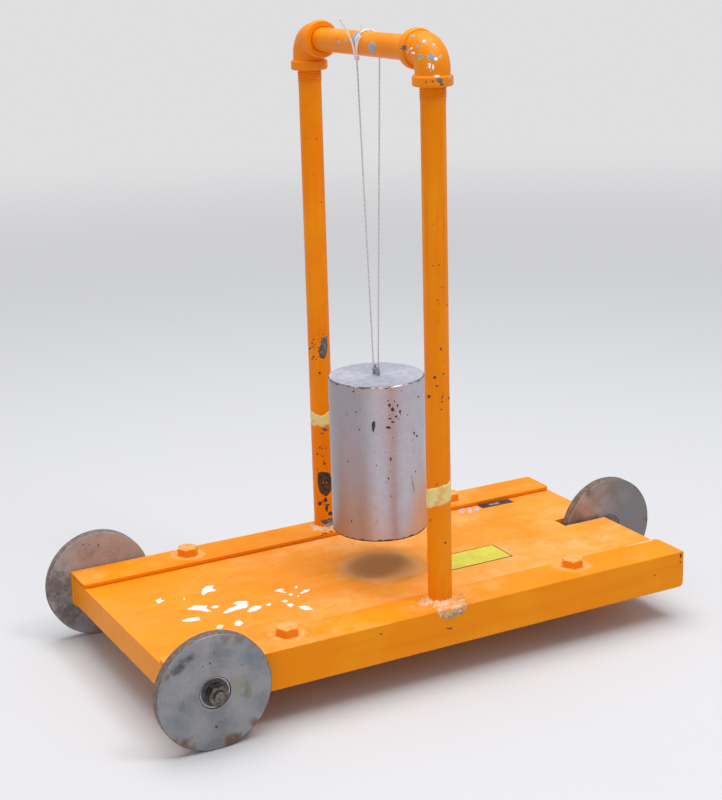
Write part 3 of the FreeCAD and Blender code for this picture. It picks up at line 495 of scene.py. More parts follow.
GREEN_GREY, OLIVE, TAN = (110, 118, 100), (112, 104, 70), (150, 142, 112)
DARK_STAIN, BLUE_GREY, RUST_STAIN = (84, 80, 76), (118, 128, 146), (124, 92, 72)
wheel_materials = {
    "near_front": disc_steel(
        "near_wheel_steel", WHEELS["near_front"], (150, 150, 153), (127, 129, 132), lines=0.16,
        marks=((-0.0031, 0.0264, 0.0009), (0.001, 0.0349, 0.0006), (-0.0007, -0.0302, 0.0011),
               (-0.0096, 0.0254, 0.0006)),
        stains_and_shade=((-0.04, 0.0235, 0.003, 0.6, DARK_STAIN), (-0.036, 0.0262, 0.0038, 0.65, DARK_STAIN),
                (-0.0315, 0.029, 0.0044, 0.7, DARK_STAIN), (-0.027, 0.0315, 0.0044, 0.7, DARK_STAIN),
                (-0.0225, 0.0342, 0.0038, 0.65, DARK_STAIN), (-0.0185, 0.0366, 0.003, 0.5, DARK_STAIN),
                (-0.0365, -0.033, 0.005, 0.8, RUST_STAIN),
                (-0.0303, -0.0054, 0.0035, 0.55, GREEN_GREY), (0.0219, 0.001, 0.009, 0.5, TAN),
                (0.0019, 0.0162, 0.004, 0.5, TAN), (0.0337, 0.0232, 0.007, 0.5, BLUE_GREY),
                (-0.0343, -0.0168, 0.008, 0.4, BLUE_GREY), (0.0272, 0.0, 0.0045, 0.5, OLIVE),
                (0.0268, -0.0085, 0.0045, 0.5, OLIVE), (-0.0296, -0.0385, 0.0066, 0.9, RUST_STAIN),
                (-0.023, -0.0435, 0.005, 0.8, RUST_STAIN), (0.0116, -0.0455, 0.0064, 0.9, RUST_STAIN),
                (0.0175, -0.0448, 0.005, 0.8, RUST_STAIN), (0.0335, -0.0355, 0.006, 0.9, RUST_STAIN),
                (0.0222, 0.0425, 0.006, 0.6, RUST_STAIN), (0.0137, 0.0455, 0.005, 0.5, RUST_STAIN))),
    "far_front": disc_steel(
        "far_wheel_steel", WHEELS["far_front"], (170, 168, 174), (144, 141, 147), lines=0.4,
        rust=-0.04, rim_start=0.84, metallic=0.3, roughness=0.5,
        marks=((-0.0133, 0.0417, 0.0008), (0.0012, 0.0382, 0.0009), (-0.0071, 0.0399, 0.0006)),
        # The first two patches, large and dark on the wheel's left half, are painted shade.
        stains_and_shade=((-0.042, 0.006, 0.016, 0.7, (92, 84, 84)), (-0.034, -0.022, 0.018, 0.7, (90, 84, 84)),
                (-0.012, 0.03, 0.009, 0.35, (128, 116, 118)), (0.016, 0.022, 0.008, 0.3, (176, 154, 146)))),
    "rear": disc_steel(
        "rear_wheel_steel", WHEELS["rear"], (134, 126, 126), (138, 128, 124), lines=0.07, rim_start=0.78,
        # Painted reflection: warmer and lighter on the left half, darker grey on the right half.
        sides=((176, 162, 156), (126, 126, 130)), metallic=0.6, roughness=0.42,
        stains_and_shade=((-0.014, 0.03, 0.008, 0.45, (150, 122, 104)), (0.02, 0.03, 0.009, 0.4, (150, 150, 156)),
                (0.004, 0.038, 0.007, 0.4, (112, 98, 90)), (-0.026, 0.016, 0.007, 0.4, (196, 186, 180)))),
}


def dress(material, *names):
    for name in names:
        mesh = nodes[name].data
        mesh.materials.clear()
        mesh.materials.append(material)


dress(wood_paint(), "deck_board")
dress(rail_enamel, "near_rail", "far_rail")
dress(pipe_enamel, "near_post", "far_post")
dress(bar_enamel, "crossbar_pipe")
dress(elbow_enamel, "near_elbow", "far_elbow")
dress(weld_metal, "near_weld", "far_weld")
dress(bolt_paint(), "deck_bolts")
dress(zinc_steel, "deck_washers", "deck_nuts", "strap_screws", "rear_strap_near", "rear_strap_far")
dress(brown_steel, "axle_nuts", "front_axle", "rear_axle_bolt", "rear_axle_nut")
dress(dark_steel, "axle_spacers", "axle_washers", "rear_bushes")
for wheel, material in wheel_materials.items():
    dress(material, wheel + "_wheel_disc")
    # The near wheel's pale race edge is a painted highlight.
    edge = (186, 184, 186) if wheel == "near_front" else (122, 118, 118)
    seam = (104, 98, 94) if wheel == "rear" else (50, 44, 40)
    dress(race_steel(wheel + "_race_steel", WHEELS[wheel], edge, seam), wheel + "_outer_race",
          wheel + "_inner_race")
    dress(ball_steel, wheel + "_bearing_balls")
    dress(dusty_rubber if wheel == "rear" else seal_rubber, wheel + "_bearing_seals")
dress(weight_steel(), "weight_cylinder")
dress(wire_steel, "weight_eye")


# Making pieces


def piece_of(name, data, material, body):
    data.materials.append(material)
    piece = bpy.data.objects.new(name, data)
    link(piece)
    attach(piece, body)
    return piece


def add_piece(name, shape, material, body, smooth=True):
    bmesh.ops.recalc_face_normals(shape, faces=shape.faces)
    mesh = bpy.data.meshes.new(name)
    shape.to_mesh(mesh)
    shape.free()
    for polygon in mesh.polygons:
        polygon.use_smooth = smooth
    return piece_of(name, mesh, material, body)


def join_rows(shape, rows, closed=True):
    """Faces between rows of vertices, the rows closed on themselves or open."""
    count = len(rows[0])
    for lower, upper in zip(rows, rows[1:]):
        for index in range(count if closed else count - 1):
            following = (index + 1) % count
            shape.faces.new((lower[index], lower[following], upper[following], upper[index]))


@cache
def tree_of(node):
    mesh = nodes[node].data
    return BVHTree.FromPolygons(
        [vertex.co for vertex in mesh.vertices], [polygon.vertices for polygon in mesh.polygons])


def seen(node, u, v):
    """Where the sight line through a pixel meets a CAD piece, and that surface's direction."""
    place, normal, _, _ = tree_of(node).ray_cast(EYE, sight(u, v))
    return place, normal


def middle_of(outline):
    return [sum(places) / len(outline) for places in zip(*outline)]


def flake_into(shape, node, outline, lift, depth, rough, draw):
    """Add one closed flake, outlined in pixels, to a mesh: a low crown with its root in the piece."""
    centre_u, centre_v = middle_of(outline)
    fine = []
    for (u, v), (next_u, next_v) in zip(outline, outline[1:] + outline[:1]):
        for step in (0.0, 0.34, 0.67):
            fine.append((u + (next_u - u) * step + draw.uniform(-rough, rough),
                         v + (next_v - v) * step + draw.uniform(-rough, rough)))
    rings = []
    for scale, height in ((1.0, -depth), (1.0, lift * 0.2), (0.86, lift), (0.5, lift)):
        ring = []
        for u, v in fine:
            place, normal = seen(node, centre_u + (u - centre_u) * scale, centre_v + (v - centre_v) * scale)
            if place is None:
                return
            ring.append(shape.verts.new(place + normal * height))
        rings.append(ring)
    place, normal = seen(node, centre_u, centre_v)
    crown = shape.verts.new(place + normal * lift)
    root = shape.verts.new(place - normal * depth)
    join_rows(shape, rings)
    for index in range(len(fine)):
        following = (index + 1) % len(fine)
        shape.faces.new((rings[-1][index], rings[-1][following], crown))
        shape.faces.new((rings[0][following], rings[0][index], root))


def flakes(name, node, outlines, material, body="chassis", lift=0.00014, depth=0.0002,
           rough=0.12, seed=1):
    """Flakes on a CAD piece, each outlined by a list of pixels or, for a blob, by its middle and size."""
    draw = random.Random(seed)
    shape = bmesh.new()
    for outline in outlines:
        if isinstance(outline, tuple):
            outline = blob(*outline)
        flake_into(shape, node, outline, lift, depth, rough, draw)
    add_piece(name, shape, material, body)


def blob(u, v, width, height, tilt=0.0, sides=7, draw=None, uneven=0.25):
    """An uneven rounded outline about a pixel."""
    draw = draw or random.Random(int(u * 7 + v * 13))
    points = []
    for side in range(sides):
        angle = tau * side / sides
        reach = 1 + draw.uniform(-uneven, uneven)
        across = cos(angle) * width / 2 * reach
        above = sin(angle) * height / 2 * reach
        points.append((u + across * cos(tilt) - above * sin(tilt),
                       v + across * sin(tilt) + above * cos(tilt)))
    return points


def scatter(u, v, width, height, count, size, seed):
    """Small blobs strewn about a pixel."""
    draw = random.Random(seed)
    found = []
    for _ in range(count):
        spot_u = u + draw.gauss(0, 0.28) * width
        spot_v = v + draw.gauss(0, 0.28) * height
        breadth = size * draw.uniform(0.5, 1.5)
        spot_height = breadth * draw.uniform(0.6, 1.3)
        found.append(blob(spot_u, spot_v, breadth, spot_height, draw.uniform(0, 3), 6, draw))
    return found


# Suspension line: one loop over the crossbar and under the eye's arch, from the knot and back to it.
# Points are relative to the crossbar's centre, in millimetres, in the plane of the loop.

LOOP = (
    (-11.20, -14.0), (-10.0, -52.0), (-2.9, -270.0), (-2.66, -278.8), (-2.75, -288.7), (0.0, -289.85),
    (2.75, -288.7), (2.66, -278.8), (2.9, -270.0), (11.0, -17.0), (11.4, -8.8), (11.86, 6.52), (0.0, 13.54),
    (-11.86, 6.52), (-11.6, -2.0), (-11.37, -9.0),
)


def loop_point(x, z, y=0.0):
    return Vector((POST_X + x / 1000, PENDULUM_Y + y / 1000, BAR_Z + z / 1000))


def twine(name, points, radius, taper=None):
    """A round twine along a smooth spline through given control points."""
    data = bpy.data.curves.new(name, "CURVE")
    data.dimensions = "3D"
    spline = data.splines.new("NURBS")
    spline.points.add(len(points) - 1)
    for index, (spot, place) in enumerate(zip(spline.points, points)):
        spot.co = (*place, 1.0)
        spot.radius = taper[index] if taper else 1.0
    spline.order_u = 3
    spline.use_endpoint_u = True
    spline.resolution_u = 12
    data.bevel_depth = radius
    data.bevel_resolution = 4
    data.use_fill_caps = True
    return piece_of(name, data, pale_twine, "pendulum_line")


LINE_RADIUS = 0.0007
line = twine("suspension_loop", [loop_point(x, z) for x, z in LOOP], LINE_RADIUS)
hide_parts("suspension_line")

KNOT = loop_point(-11.285, -11.5)
THICK_TAIL = (
    (-1.9, 0.2, 1.2), (-2.3, 0.1, 5.0), (-3.2, 0, 10.0), (-5.4, 0, 16.0), (-10.4, 0, 26.0), (-15.4, 0, 34.0))
THIN_TAIL = (
    (-1.6, -1.6, 0.8), (-2.4, -3.6, 3.4), (-2.6, -4.9, 8.0), (-1.9, -5.5, 13.6), (0.9, -6.0, 20.6),
    (1.6, -6.4, 28.6))
WRAP_RADIUS, WRAP_TOP, WRAP_FALL, WRAP_TURNS, WRAP_STEPS = 1.75, 1.6, 3.4, 2.75, 8


def knot_points():
    """The thick end, three tight turns round the standing line, and the thin end."""
    wraps = []
    for step in range(int(WRAP_STEPS * WRAP_TURNS) + 1):
        angle = pi + tau * step / WRAP_STEPS
        height = WRAP_TOP - WRAP_FALL * step / (WRAP_STEPS * WRAP_TURNS)
        wraps.append((WRAP_RADIUS * cos(angle), WRAP_RADIUS * sin(angle), height))
    rise = [(-2.9, -2.2, -0.6)]
    points = list(reversed(THICK_TAIL)) + wraps + rise + list(THIN_TAIL)
    sizes = [1.12] * len(THICK_TAIL) + [1.0] * len(wraps) + [1.0] + [0.95] * len(THIN_TAIL)
    return [KNOT + Vector(point) / 1000 for point in points], sizes


tail_points, tail_sizes = knot_points()
knot = twine("knot_and_ends", tail_points, 0.00072, tail_sizes)
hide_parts("line_knot")


# Marks on the deck: flecks of white paint, a pale line on the near flange's edge, partly a scuff and partly
# painted highlight, two labels left blank, a third one's remnant

deck_flecks = [
    [(155.5, 600.4), (159, 599), (161, 598), (160.4, 600.2), (165, 600.5), (160.5, 602.5), (158.5, 604)],
    [(201.5, 594), (202, 589.5), (206, 586.2), (213.8, 585.2), (212.6, 588.4), (216.6, 590.4), (207, 592.4),
     (203.5, 595.2)],
    [(186.5, 609.2), (194, 605.4), (207.5, 605.6), (206, 608.2), (211.6, 611.4), (205, 611.4), (199, 610.4),
     (192, 610)],
    [(211, 607.4), (215, 605.4), (219, 605.8), (217.6, 607.8), (213, 608.4)],
    [(181.6, 620.6), (187, 618.4), (199, 617.2), (200.2, 620), (191, 621.4), (184, 621.6)],
    [(232.6, 603.4), (237, 601.2), (247, 600.8), (248.6, 603.4), (242, 605), (236, 604.6)],
    [(222.4, 613), (229, 608.6), (240, 604.6), (248.6, 604.8), (246.4, 607.8), (236, 609.8), (227, 613.4)],
    [(246.8, 611.4), (252.6, 606.4), (261.4, 605.6), (261, 608.4), (255, 611), (249.6, 612.4)],
    [(234.4, 624), (236.4, 620.8), (240, 620.4), (243, 623), (240, 626), (236, 625.8)],
    [(216, 627.4), (218.6, 625), (223.4, 625.2), (222.4, 628), (218, 629)],
    [(266, 605), (269.6, 603.4), (271.6, 604.4), (268.6, 606)],
    [(274.6, 591), (280, 588.4), (285.6, 589.6), (281, 590.6), (287, 592.8), (280, 592)],
    [(294, 587), (296.6, 585.6), (298, 587.4), (296, 588.8)],
    [(299.4, 593.6), (304, 590), (310.4, 589.2), (308.6, 591.4), (302.6, 593.2)],
    [(288.6, 594.6), (291.4, 593.2), (293.4, 594.6), (290.6, 595.8)],
    [(281, 601.4), (284.6, 599.8), (288.4, 600.6), (285.6, 602.6)],
    [(286.6, 604), (292, 603), (294, 605), (290.6, 607.2), (288, 605.6)],
    [(298.6, 606.4), (304, 605.6), (309, 606.4), (313, 609.6), (306, 610), (301.4, 608.6)],
    [(183, 598.6), (184.6, 597.8), (185.4, 599.2), (183.8, 599.8)],
    [(297, 596), (298.8, 595), (299.4, 596.6), (298, 597.2)],
]
flakes("deck_flecks", "deck_board", deck_flecks, white_paint, lift=0.0002, rough=0.2)


def plate(name, outline, low, high, material, inset=0.00005):
    """A thin label lying on the deck, its edge slightly rounded over."""
    shape = bmesh.new()
    middle = Vector((*middle_of(outline), 0))
    rings = []
    for height, shrink in ((low, 0.0), (high - (high - low) * 0.3, 0.0), (high, inset)):
        ring = []
        for x, y in outline:
            inward = (middle - Vector((x, y, 0))).normalized() * shrink
            ring.append(shape.verts.new((x + inward.x, y + inward.y, height)))
        rings.append(ring)
    join_rows(shape, rings)
    shape.faces.new(rings[-1])
    shape.faces.new(list(reversed(rings[0])))
    add_piece(name, shape, material, "chassis", smooth=False)


def framed(x_low, x_high, y_low, y_high, margin=0.0, slant=0.0):
    return [(x_low + margin, y_low + margin), (x_high - margin, y_low + margin + slant),
            (x_high - margin, y_high - margin + slant), (x_low + margin, y_high - margin)]


label_border = dull_finish("label_border", (58, 46, 16), (84, 66, 20), 0.45)
label_yellow = dull_finish("label_yellow", (222, 212, 66), (210, 198, 56), 0.42, 70.0, 0.00003)
label_black = dull_finish("label_black", (46, 42, 48), (66, 58, 64), 0.5, 150.0)
label_silver = dull_finish("label_silver", (150, 144, 148), (110, 102, 108), 0.4, 220.0)
label_lilac = dull_finish(
    "label_remnant", (214, 178, 196), (236, 160, 120), 0.65, 240.0, low=0.44, high=0.56)

YELLOW_LABEL, LABEL_BORDER = (0.0334, 0.1024, -0.0478, -0.0118), 0.0013
DARK_LABEL, DARK_FIELD = (0.1499, 0.1874, 0.0806, 0.0915), (0.1614, 0.1734, 0.0838, 0.0885)
for name, outline, low, high, material in (
        ("yellow_label_edge", framed(*YELLOW_LABEL), -0.0001, 0.00014, label_border),
        ("yellow_label", framed(*YELLOW_LABEL, LABEL_BORDER), 0.0, 0.00022, label_yellow),
        ("dark_label", framed(*DARK_LABEL, slant=-0.001), -0.0001, 0.00014, label_black),
        ("dark_label_field", framed(*DARK_FIELD), 0.0, 0.0002, label_silver)):
    plate(name, outline, BOARD_TOP + low, BOARD_TOP + high, material)
# A pale cream strip along the near flange's inner edge: partly a scuff, partly a painted highlight on the
# arris.
scuff_and_highlight_outline = [(0.2003, -0.0924), (0.214, -0.0931), (0.2322, -0.0938), (0.2326, -0.0917), (0.216, -0.0916),
         (0.2, -0.0918)]
plate("seam_scuff_and_highlight", scuff_and_highlight_outline, FLANGE_TOP - 0.0001, FLANGE_TOP + 0.00018, scuff_and_highlight_finish)
remnant = [
    [(459, 508.4), (465, 507.6), (466, 511), (463, 514), (460, 513)],
    [(467, 508), (471, 507), (472, 512.6), (468.6, 513.4)],
    [(473, 506.8), (478.6, 505.6), (479.4, 510.8), (475, 511.8)],
]
flakes("label_remnant", "deck_board", remnant, label_lilac, rough=0.5)


# Tape round both posts, and the ridges of pipe thread just below the elbows


def ripple(x, y, z):
    """Smooth unevenness, about -1 to 1."""
    return noise.noise(Vector((x, y, z)))


def sleeve(name, side, inner, surface, low, high, rows, material, columns=64):
    """A closed tube round a post: surface(turn, height) is its outer radius, low and high its ends."""
    shape = bmesh.new()
    outer_rows, inner_rows = [], []
    for row in range(rows + 1):
        outer_ring, inner_ring = [], []
        for column in range(columns):
            turn = tau * column / columns
            height = low(turn) + (high(turn) - low(turn)) * row / rows
            reach = inner + (surface(turn, height) - inner) * (0.35 if row in (0, rows) else 1.0)
            way = Vector((cos(turn), sin(turn), 0))
            middle = Vector((POST_X, side * POST_Y, height))
            outer_ring.append(shape.verts.new(middle + way * reach))
            inner_ring.append(shape.verts.new(middle + way * inner))
        outer_rows.append(outer_ring)
        inner_rows.append(inner_ring)
    join_rows(shape, outer_rows + inner_rows[::-1] + outer_rows[:1])
    add_piece(name, shape, material, "chassis")


TAPE_THICKNESS = 0.00022
NOTCH_TURN, NOTCH_HALF = radians(238), 0.75


def tape(name, side, low, high, slant, notch, seed):
    """One wrap of tape: slant tips both edges, notch cuts a V into the upper one."""
    def ragged(turn, amount, shift):
        return amount * ripple(cos(turn) * 2.3, sin(turn) * 2.3, seed + shift)

    def lower(turn):
        return low + slant * cos(turn + 0.6) + ragged(turn, 0.0026, 0)

    def upper(turn):
        aside = abs((turn - NOTCH_TURN + pi) % tau - pi) / NOTCH_HALF
        return high + slant * cos(turn + 0.6) + ragged(turn, 0.0016, 7) - notch * max(0.0, 1 - aside)

    def surface(turn, height):
        crinkle = 0.00008 * ripple(cos(turn) * 5, sin(turn) * 5, height * 300 + seed)
        return POST_RADIUS + TAPE_THICKNESS + crinkle

    sleeve(name, side, POST_RADIUS - 0.0002, surface, lower, upper, 8, yellow_tape)


tape("near_tape", -1, low=0.1605, high=0.1785, slant=0.0035, notch=0.0, seed=3)
tape("far_tape", 1, low=0.1755, high=0.1905, slant=0.0, notch=0.0035, seed=11)

THREAD_PITCH, THREAD_HEIGHT = 0.0018, 0.00085
THREAD_LOW, THREAD_HIGH, THREAD_FADE = 0.503, 0.5188, 0.006


def threads(name, side):
    def surface(turn, height):
        lift = 0.5 + 0.5 * cos(tau * (height / THREAD_PITCH - turn / tau))
        fade = min(1.0, max(0.0, (height - THREAD_LOW) / THREAD_FADE))
        return POST_RADIUS - 0.0002 + THREAD_HEIGHT * lift * fade

    sleeve(name, side, POST_RADIUS - 0.0006, surface, lambda turn: THREAD_LOW, lambda turn: THREAD_HIGH, 96,
           elbow_enamel, 72)


threads("near_thread", -1)
threads("far_thread", 1)


# Chips and rust on the pipes, elbows and rails, placed by pixels of the photograph: for each piece the
# node that carries it, its material, how rough its outlines are, its seed, and the outlines or blobs

steel_marks = {
    "near_elbow_chips": ("near_elbow", primer_chip, 0.3, 2, [
        (431.5, 58, 8, 6.5), (440, 57, 3, 5), (424.5, 42, 4, 4), (417.5, 46.5, 3, 5), (420, 57, 5, 6.5),
        (433, 45.5, 3, 3.5), (412, 36, 5, 2.6), (450, 79, 4, 3), *scatter(430, 56, 14, 10, 7, 1.6, 3)]),
    "near_elbow_flecks": ("near_elbow", white_paint, 0.3, 4, [
        (429.5, 66, 3, 5.5), (433, 67, 2.4, 5), (436, 59, 4, 3.4), (424, 41.4, 2.6, 3), (437, 76, 6, 2),
        (413, 53, 4, 2), (433.5, 45, 2.2, 2.6), *scatter(431, 64, 12, 8, 5, 1.5, 8),
        *scatter(411, 50, 10, 8, 5, 1.4, 9)]),
    "near_elbow_rust": ("near_elbow", bare_chip, 0.35, 6, [
        (440, 80, 7, 5.5), (442, 84, 4, 4), (404, 47.5, 6, 5), (433, 81, 2.4, 2.4), (426, 82, 2, 3),
        *scatter(405, 48, 10, 7, 5, 1.4, 12)]),
    "far_elbow_chips": ("far_elbow", bare_chip, 0.12, 3, [(337.5, 41, 3, 2.4), (331, 33, 2.4, 2)]),
    "crossbar_chips": ("crossbar_pipe", primer_chip, 0.3, 5, [
        [(351.5, 37), (356.6, 31.4), (361.4, 32.6), (361, 37), (358.6, 42.6), (354, 43.8), (351, 41)],
        (372.4, 46, 8, 11), (372.6, 52.6, 4, 3), (339, 42.6, 3, 4), (346, 41, 2, 3)]),
    "far_post_grey_chips": ("far_post", bare_chip, 0.45, 7, [
        [(321.4, 337.6), (327.4, 336), (328, 345), (327, 352.4), (324.6, 359), (319.4, 357.6), (318.6, 350),
         (320.6, 344)],
        (325, 429.6, 6, 3.4), (321.6, 433.4, 4, 2),
        [(320.4, 519.4), (333, 517.4), (333.4, 522.6), (326, 524.6), (320.6, 522)]]),
    "far_post_blue_patch": ("far_post", primer_chip, 0.3, 1, [
        [(322, 524), (333, 522), (333, 526.4), (325.6, 527)]]),
    "far_post_rust": ("far_post", rust_chip, 0.35, 8, [
        [(318, 472.6), (322.6, 471.4), (330, 472.4), (332, 480), (331.6, 491), (326.4, 496.6),
         (320.6, 493.4), (317.6, 485)],
        (319.5, 373, 2.6, 2.2), (325.6, 500, 5, 3.6), (320, 503.6, 4.4, 4.4), (326.6, 508, 3, 7),
        (330, 513.6, 5, 4), (324.4, 463.6, 2.4, 2.2), (317.4, 454, 1.6, 1.8), (322, 449, 1.6, 1.8),
        *scatter(313.5, 344, 5, 10, 9, 1.5, 21), *scatter(322, 348, 10, 20, 7, 1.3, 22),
        *scatter(321, 455, 8, 22, 8, 1.2, 23), *scatter(325, 502, 10, 12, 8, 1.6, 24),
        *scatter(314, 357, 4, 5, 4, 1.5, 25)]),
    "near_post_rust": ("near_post", rust_chip, 0.25, 9, [
        (441, 349, 2.2, 3.4), (434.6, 377.4, 3.2, 3), (436.6, 386, 2.6, 2.2), (445.5, 543, 2.4, 2.2),
        (449.4, 390, 1.4, 3.4), (441.6, 409.6, 1.6, 1.8), (449.4, 407, 1.6, 1.6), (433, 265.6, 1.8, 1.6),
        (438.6, 265, 1.8, 1.4), (443.4, 374, 1.8, 1.8), (429.2, 396.6, 3.6, 4), (442.6, 396.6, 1.6, 2),
        (447, 305, 1.3, 1.6), (430.6, 520, 1.4, 1.6), (448.8, 398, 1.6, 2.8),
        *scatter(437, 300, 10, 60, 7, 1.0, 31), *scatter(440, 400, 12, 22, 8, 1.1, 32)]),
    "near_rail_chips": ("near_rail", rust_chip, 0.25, 10, [
        (680.8, 556, 2.2, 4), (680.4, 562, 1.8, 2), (655, 575, 1.8, 1.6), (449.6, 628.4, 6, 1.6),
        (300, 686.6, 1.8, 1.6), (381, 634, 3, 1.6)]),
    "far_rail_chips": ("far_rail", rust_chip, 0.25, 11, [
        (325, 533.6, 5, 1.4), (331, 531.6, 3, 1.2), (322, 535, 2, 1.2)]),
}
for name, (node, material, rough, seed, outlines) in steel_marks.items():
    flakes(name, node, outlines, material, rough=rough, seed=seed)

# Pits and rust flecks on the steel cylinder

weight_pits = [
    [(372.4, 421.6), (375, 421.2), (375.4, 427), (373.6, 432.6), (372, 430), (371.6, 425)],
    (389.4, 405.4, 3, 4), (392.6, 409.4, 4.2, 4), (396, 416.6, 3, 3), (400, 411.6, 2.2, 3.4),
    (390.4, 418.6, 2.2, 2.2), (392.8, 422, 3.4, 1.8), (388, 427.6, 5.6, 3), (397.4, 405.6, 1.8, 2.6),
    (394.6, 401.4, 1.8, 2), (388, 400.6, 1.8, 1.6), (390.8, 459, 2.2, 4), (414, 433, 2, 3.4),
    (416.8, 436, 1.8, 3), (388.6, 478.6, 2, 3), (376.6, 465.6, 1.4, 1.8), (348, 461.4, 1.8, 1.6),
    (359.4, 429.6, 1.6, 1.6), (353.4, 391.4, 2.2, 2), (418.4, 396.6, 1.8, 2), (356, 412, 1.6, 1.6),
    (391, 496, 1.4, 1.8), (385.8, 388.6, 2.6, 1.8), (415.6, 471.6, 1.4, 1.8), (407.6, 415, 1.6, 1.2),
    (351.6, 521, 1.4, 3),
    *scatter(394, 412, 12, 16, 10, 1.1, 41), *scatter(380, 440, 60, 90, 26, 0.8, 42),
]
scratch = [(410.6, 474), (411.8, 477), (414.6, 492), (413.6, 491)]
flakes("weight_pits", "weight_cylinder", weight_pits, rust_chip, "pendulum_weight",
       lift=0.00005, rough=0.2, seed=12)
flakes("weight_scratch", "weight_cylinder", [scratch], bare_chip, "pendulum_weight",
       lift=0.00004, rough=0.08)


# Welds: an uneven bead round the foot of each post, the near one run out over the rail's edge


BEAD_ROOT, BEAD_SUNK = 0.0004, 0.0005
ARRIS, RUN_ROOT, RUN_SUNK = 0.0012, 0.0004, 0.0008


def rough_noise(x, y, seed):
    """Coarse and fine unevenness together, a little beyond -1 to 1."""
    coarse = ripple(x * 0.9, y * 0.9, seed)
    return coarse + 0.55 * ripple(x * 2.4, y * 2.4, seed + 5) + 0.3 * ripple(x * 6, y * 6, seed + 9)


def foot_bead(shape, side, high, wide, seed):
    """The bead proper: a low uneven fillet all round the post."""
    columns, steps = 110, 12
    turns = [tau * column / columns for column in range(columns)]

    def vertex(turn, reach, height):
        way = Vector((cos(turn), sin(turn), 0))
        return shape.verts.new(Vector((POST_X, side * POST_Y, FLANGE_TOP + height)) + way * reach)

    rows = []
    for step in range(steps + 1):
        out = step / steps
        ring = []
        for turn in turns:
            swell = 1 + 0.4 * rough_noise(cos(turn) * 4, sin(turn) * 4, seed)
            uneven = rough_noise(cos(turn) * 12, sin(turn) * 12 + out * 3, seed + 3)
            reach = POST_RADIUS - BEAD_ROOT + (wide * swell + BEAD_ROOT) * out
            height = high * swell * (1 - out) ** 1.25 + 0.0007 * uneven * (4 * out * (1 - out) + 0.25)
            ring.append(vertex(turn, reach, -BEAD_SUNK if step == steps else height))
        rows.append(ring)
    base = [vertex(turn, POST_RADIUS - BEAD_ROOT, -BEAD_SUNK) for turn in turns]
    join_rows(shape, [base] + rows + [base])


def edge_run(shape, seed, low, high, inward, down, thick):
    """Weld metal spread on the near rail's flange and folded down over its edge."""
    columns, steps = 90, 36
    top, bottom = [], []
    for step in range(steps + 1):
        path = -inward + (inward + down) * step / steps
        upper, lower = [], []
        for column in range(columns + 1):
            along = low + (high - low) * column / columns
            if path <= 0:
                base, way = Vector((0, -RAIL_EDGE - path, FLANGE_TOP)), Vector((0, 0, 1))
            else:
                base, way = Vector((0, -RAIL_EDGE, FLANGE_TOP - path)), Vector((0, -1, 0))
            if abs(path) < ARRIS:
                lean = (path / ARRIS + 1) / 2 * pi / 2
                way = Vector((0, -sin(lean), cos(lean)))
            aside = 2 * column / columns - 1
            ahead = path / down if path > 0 else -path / inward
            uneven = rough_noise(along * 420, path * 420, seed)
            cover = 1 - aside * aside - ahead * ahead * 0.9 + 0.3 * uneven
            height = -RUN_ROOT
            if cover > 0 and column not in (0, columns) and step not in (0, steps):
                height = max(height, min(1.0, cover * 1.6) * thick * (1 + 0.4 * uneven))
            place = Vector((POST_X + along, 0, 0)) + base
            upper.append(shape.verts.new(place + way * height))
            lower.append(shape.verts.new(place - way * RUN_SUNK))
        top.append(upper)
        bottom.append(lower)
    join_rows(shape, [upper + lower[::-1] for upper, lower in zip(top, bottom)])
    for end in (0, -1):
        join_rows(shape, [top[end], bottom[end]], False)


def weld(name, side, seed, high, wide):
    shape = bmesh.new()
    foot_bead(shape, side, high, wide, seed)
    if side < 0:
        edge_run(shape, seed, low=-0.0145, high=0.0165, inward=0.0125, down=0.0095, thick=0.0016)
    bmesh.ops.remove_doubles(shape, verts=shape.verts, dist=1e-7)
    piece = add_piece(name, shape, weld_metal, "chassis")
    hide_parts("near_weld" if side < 0 else "far_weld")


weld("near_weld_bead", -1, seed=17, high=0.0045, wide=0.0062)
weld("far_weld_bead", 1, seed=23, high=0.0038, wide=0.005)
smears = [
    [(416, 603.4), (421, 600), (427, 599), (431, 601), (429, 606), (422, 607)],
    [(454, 603), (459, 598.6), (465, 600), (464.6, 604), (460, 607), (454, 608)],
    (461, 594.6, 4, 2.4), (469, 601.6, 3, 2), (412, 607, 3, 1.6),
]
flakes("weld_smears", "near_rail", smears, weld_metal, rough=0.5, lift=0.0004, seed=14)


# Floor and light

BACKDROP = (0.74, 0.74, 0.75, 1.0)
FADE = (0.7, 3.6)
FLOOR_HALF = 60.0


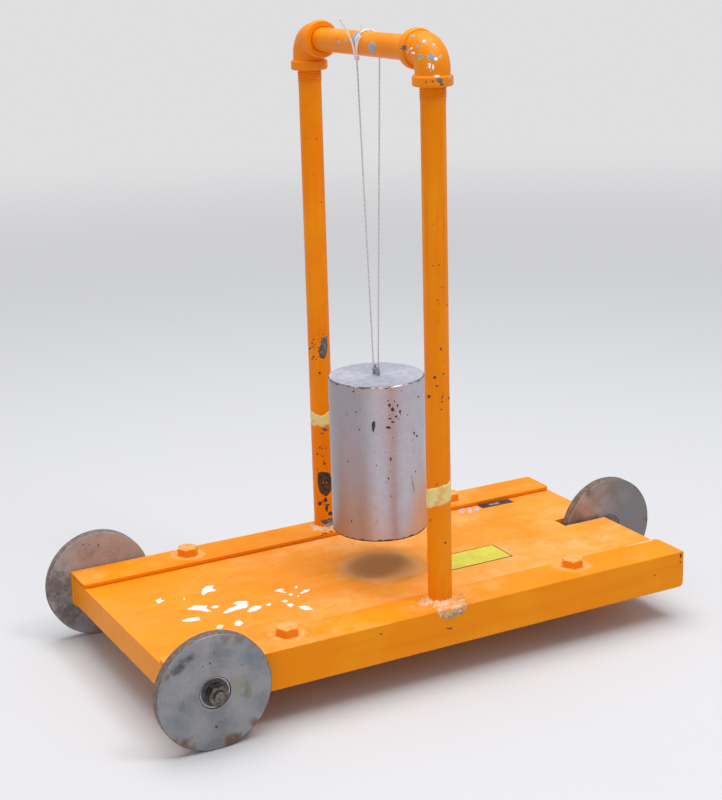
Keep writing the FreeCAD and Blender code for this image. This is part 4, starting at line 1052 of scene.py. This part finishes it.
def floor_finish():
    """Plain pale floor; far off it turns into the backdrop's colour, so that no horizon shows."""
    pale = Finish("studio_floor", roughness=0.8, specular=0.2)
    pale.done((212, 212, 214))
    paths = pale.node("ShaderNodeLightPath").outputs
    looked_at = pale.any_of(*(paths[ray + " Ray"] for ray in ("Is Camera", "Is Glossy", "Is Transmission")))
    distance = pale.vector("LENGTH", pale.position, output="Value")
    away = pale.times(pale.band(distance, *FADE), looked_at)
    glow = pale.node("ShaderNodeEmission", Color=BACKDROP, Strength=1.0)
    mixed = pale.node("ShaderNodeMixShader", away, pale.shader.outputs[0], glow.outputs[0])
    pale.feed(pale.tree.nodes["Material Output"].inputs["Surface"], mixed.outputs[0])
    return pale.material


floor_mesh = bpy.data.meshes.new("studio_floor")
floor_corners = [(x * FLOOR_HALF, y * FLOOR_HALF, 0) for x, y in ((-1, -1), (1, -1), (1, 1), (-1, 1))]
floor_mesh.from_pydata(floor_corners, [], [(0, 1, 2, 3)])
floor = bpy.data.objects.new("studio_floor", floor_mesh)
link(floor)
floor_mesh.materials.append(floor_finish())


def lamp(name, place, target, size, power):
    data = bpy.data.lights.new(name, "AREA")
    data.shape = "RECTANGLE"
    data.size, data.size_y = size
    data.energy = power
    made = bpy.data.objects.new(name, data)
    made.location = place
    made.rotation_euler = (Vector(target) - Vector(place)).to_track_quat("-Z", "Y").to_euler()
    link(made)


lamp("key_light", (-0.1, 0.1, 2.5), (0.0, 0.0, 0.1), (1.9, 1.9), 48)
lamp("front_light", (0.5, -0.91, 1.96), (-0.1, -0.1, 0.1), (0.5, 0.5), 10)
lamp("side_light", (-2.2, -1.6, 1.4), (0.0, 0.0, 0.2), (1.0, 1.8), 6.5)

world = bpy.data.worlds.new("studio")
bpy.context.scene.world = world
world.use_nodes = True
sky_nodes = world.node_tree.nodes
sky = sky_nodes["Background"]
sky.inputs["Color"].default_value = (0.93, 0.95, 1.0, 1.0)
sky.inputs["Strength"].default_value = 0.5
seen_sky = sky_nodes.new("ShaderNodeBackground")
seen_sky.inputs["Color"].default_value = BACKDROP
paths = sky_nodes.new("ShaderNodeLightPath")
mixer = sky_nodes.new("ShaderNodeMixShader")
sources = (paths.outputs["Is Camera Ray"], sky.outputs[0], seen_sky.outputs[0], mixer.outputs[0])
for source, socket in zip(sources, (*mixer.inputs, sky_nodes["World Output"].inputs["Surface"])):
    world.node_tree.links.new(source, socket)

bpy.context.scene.view_settings.view_transform = "Standard"
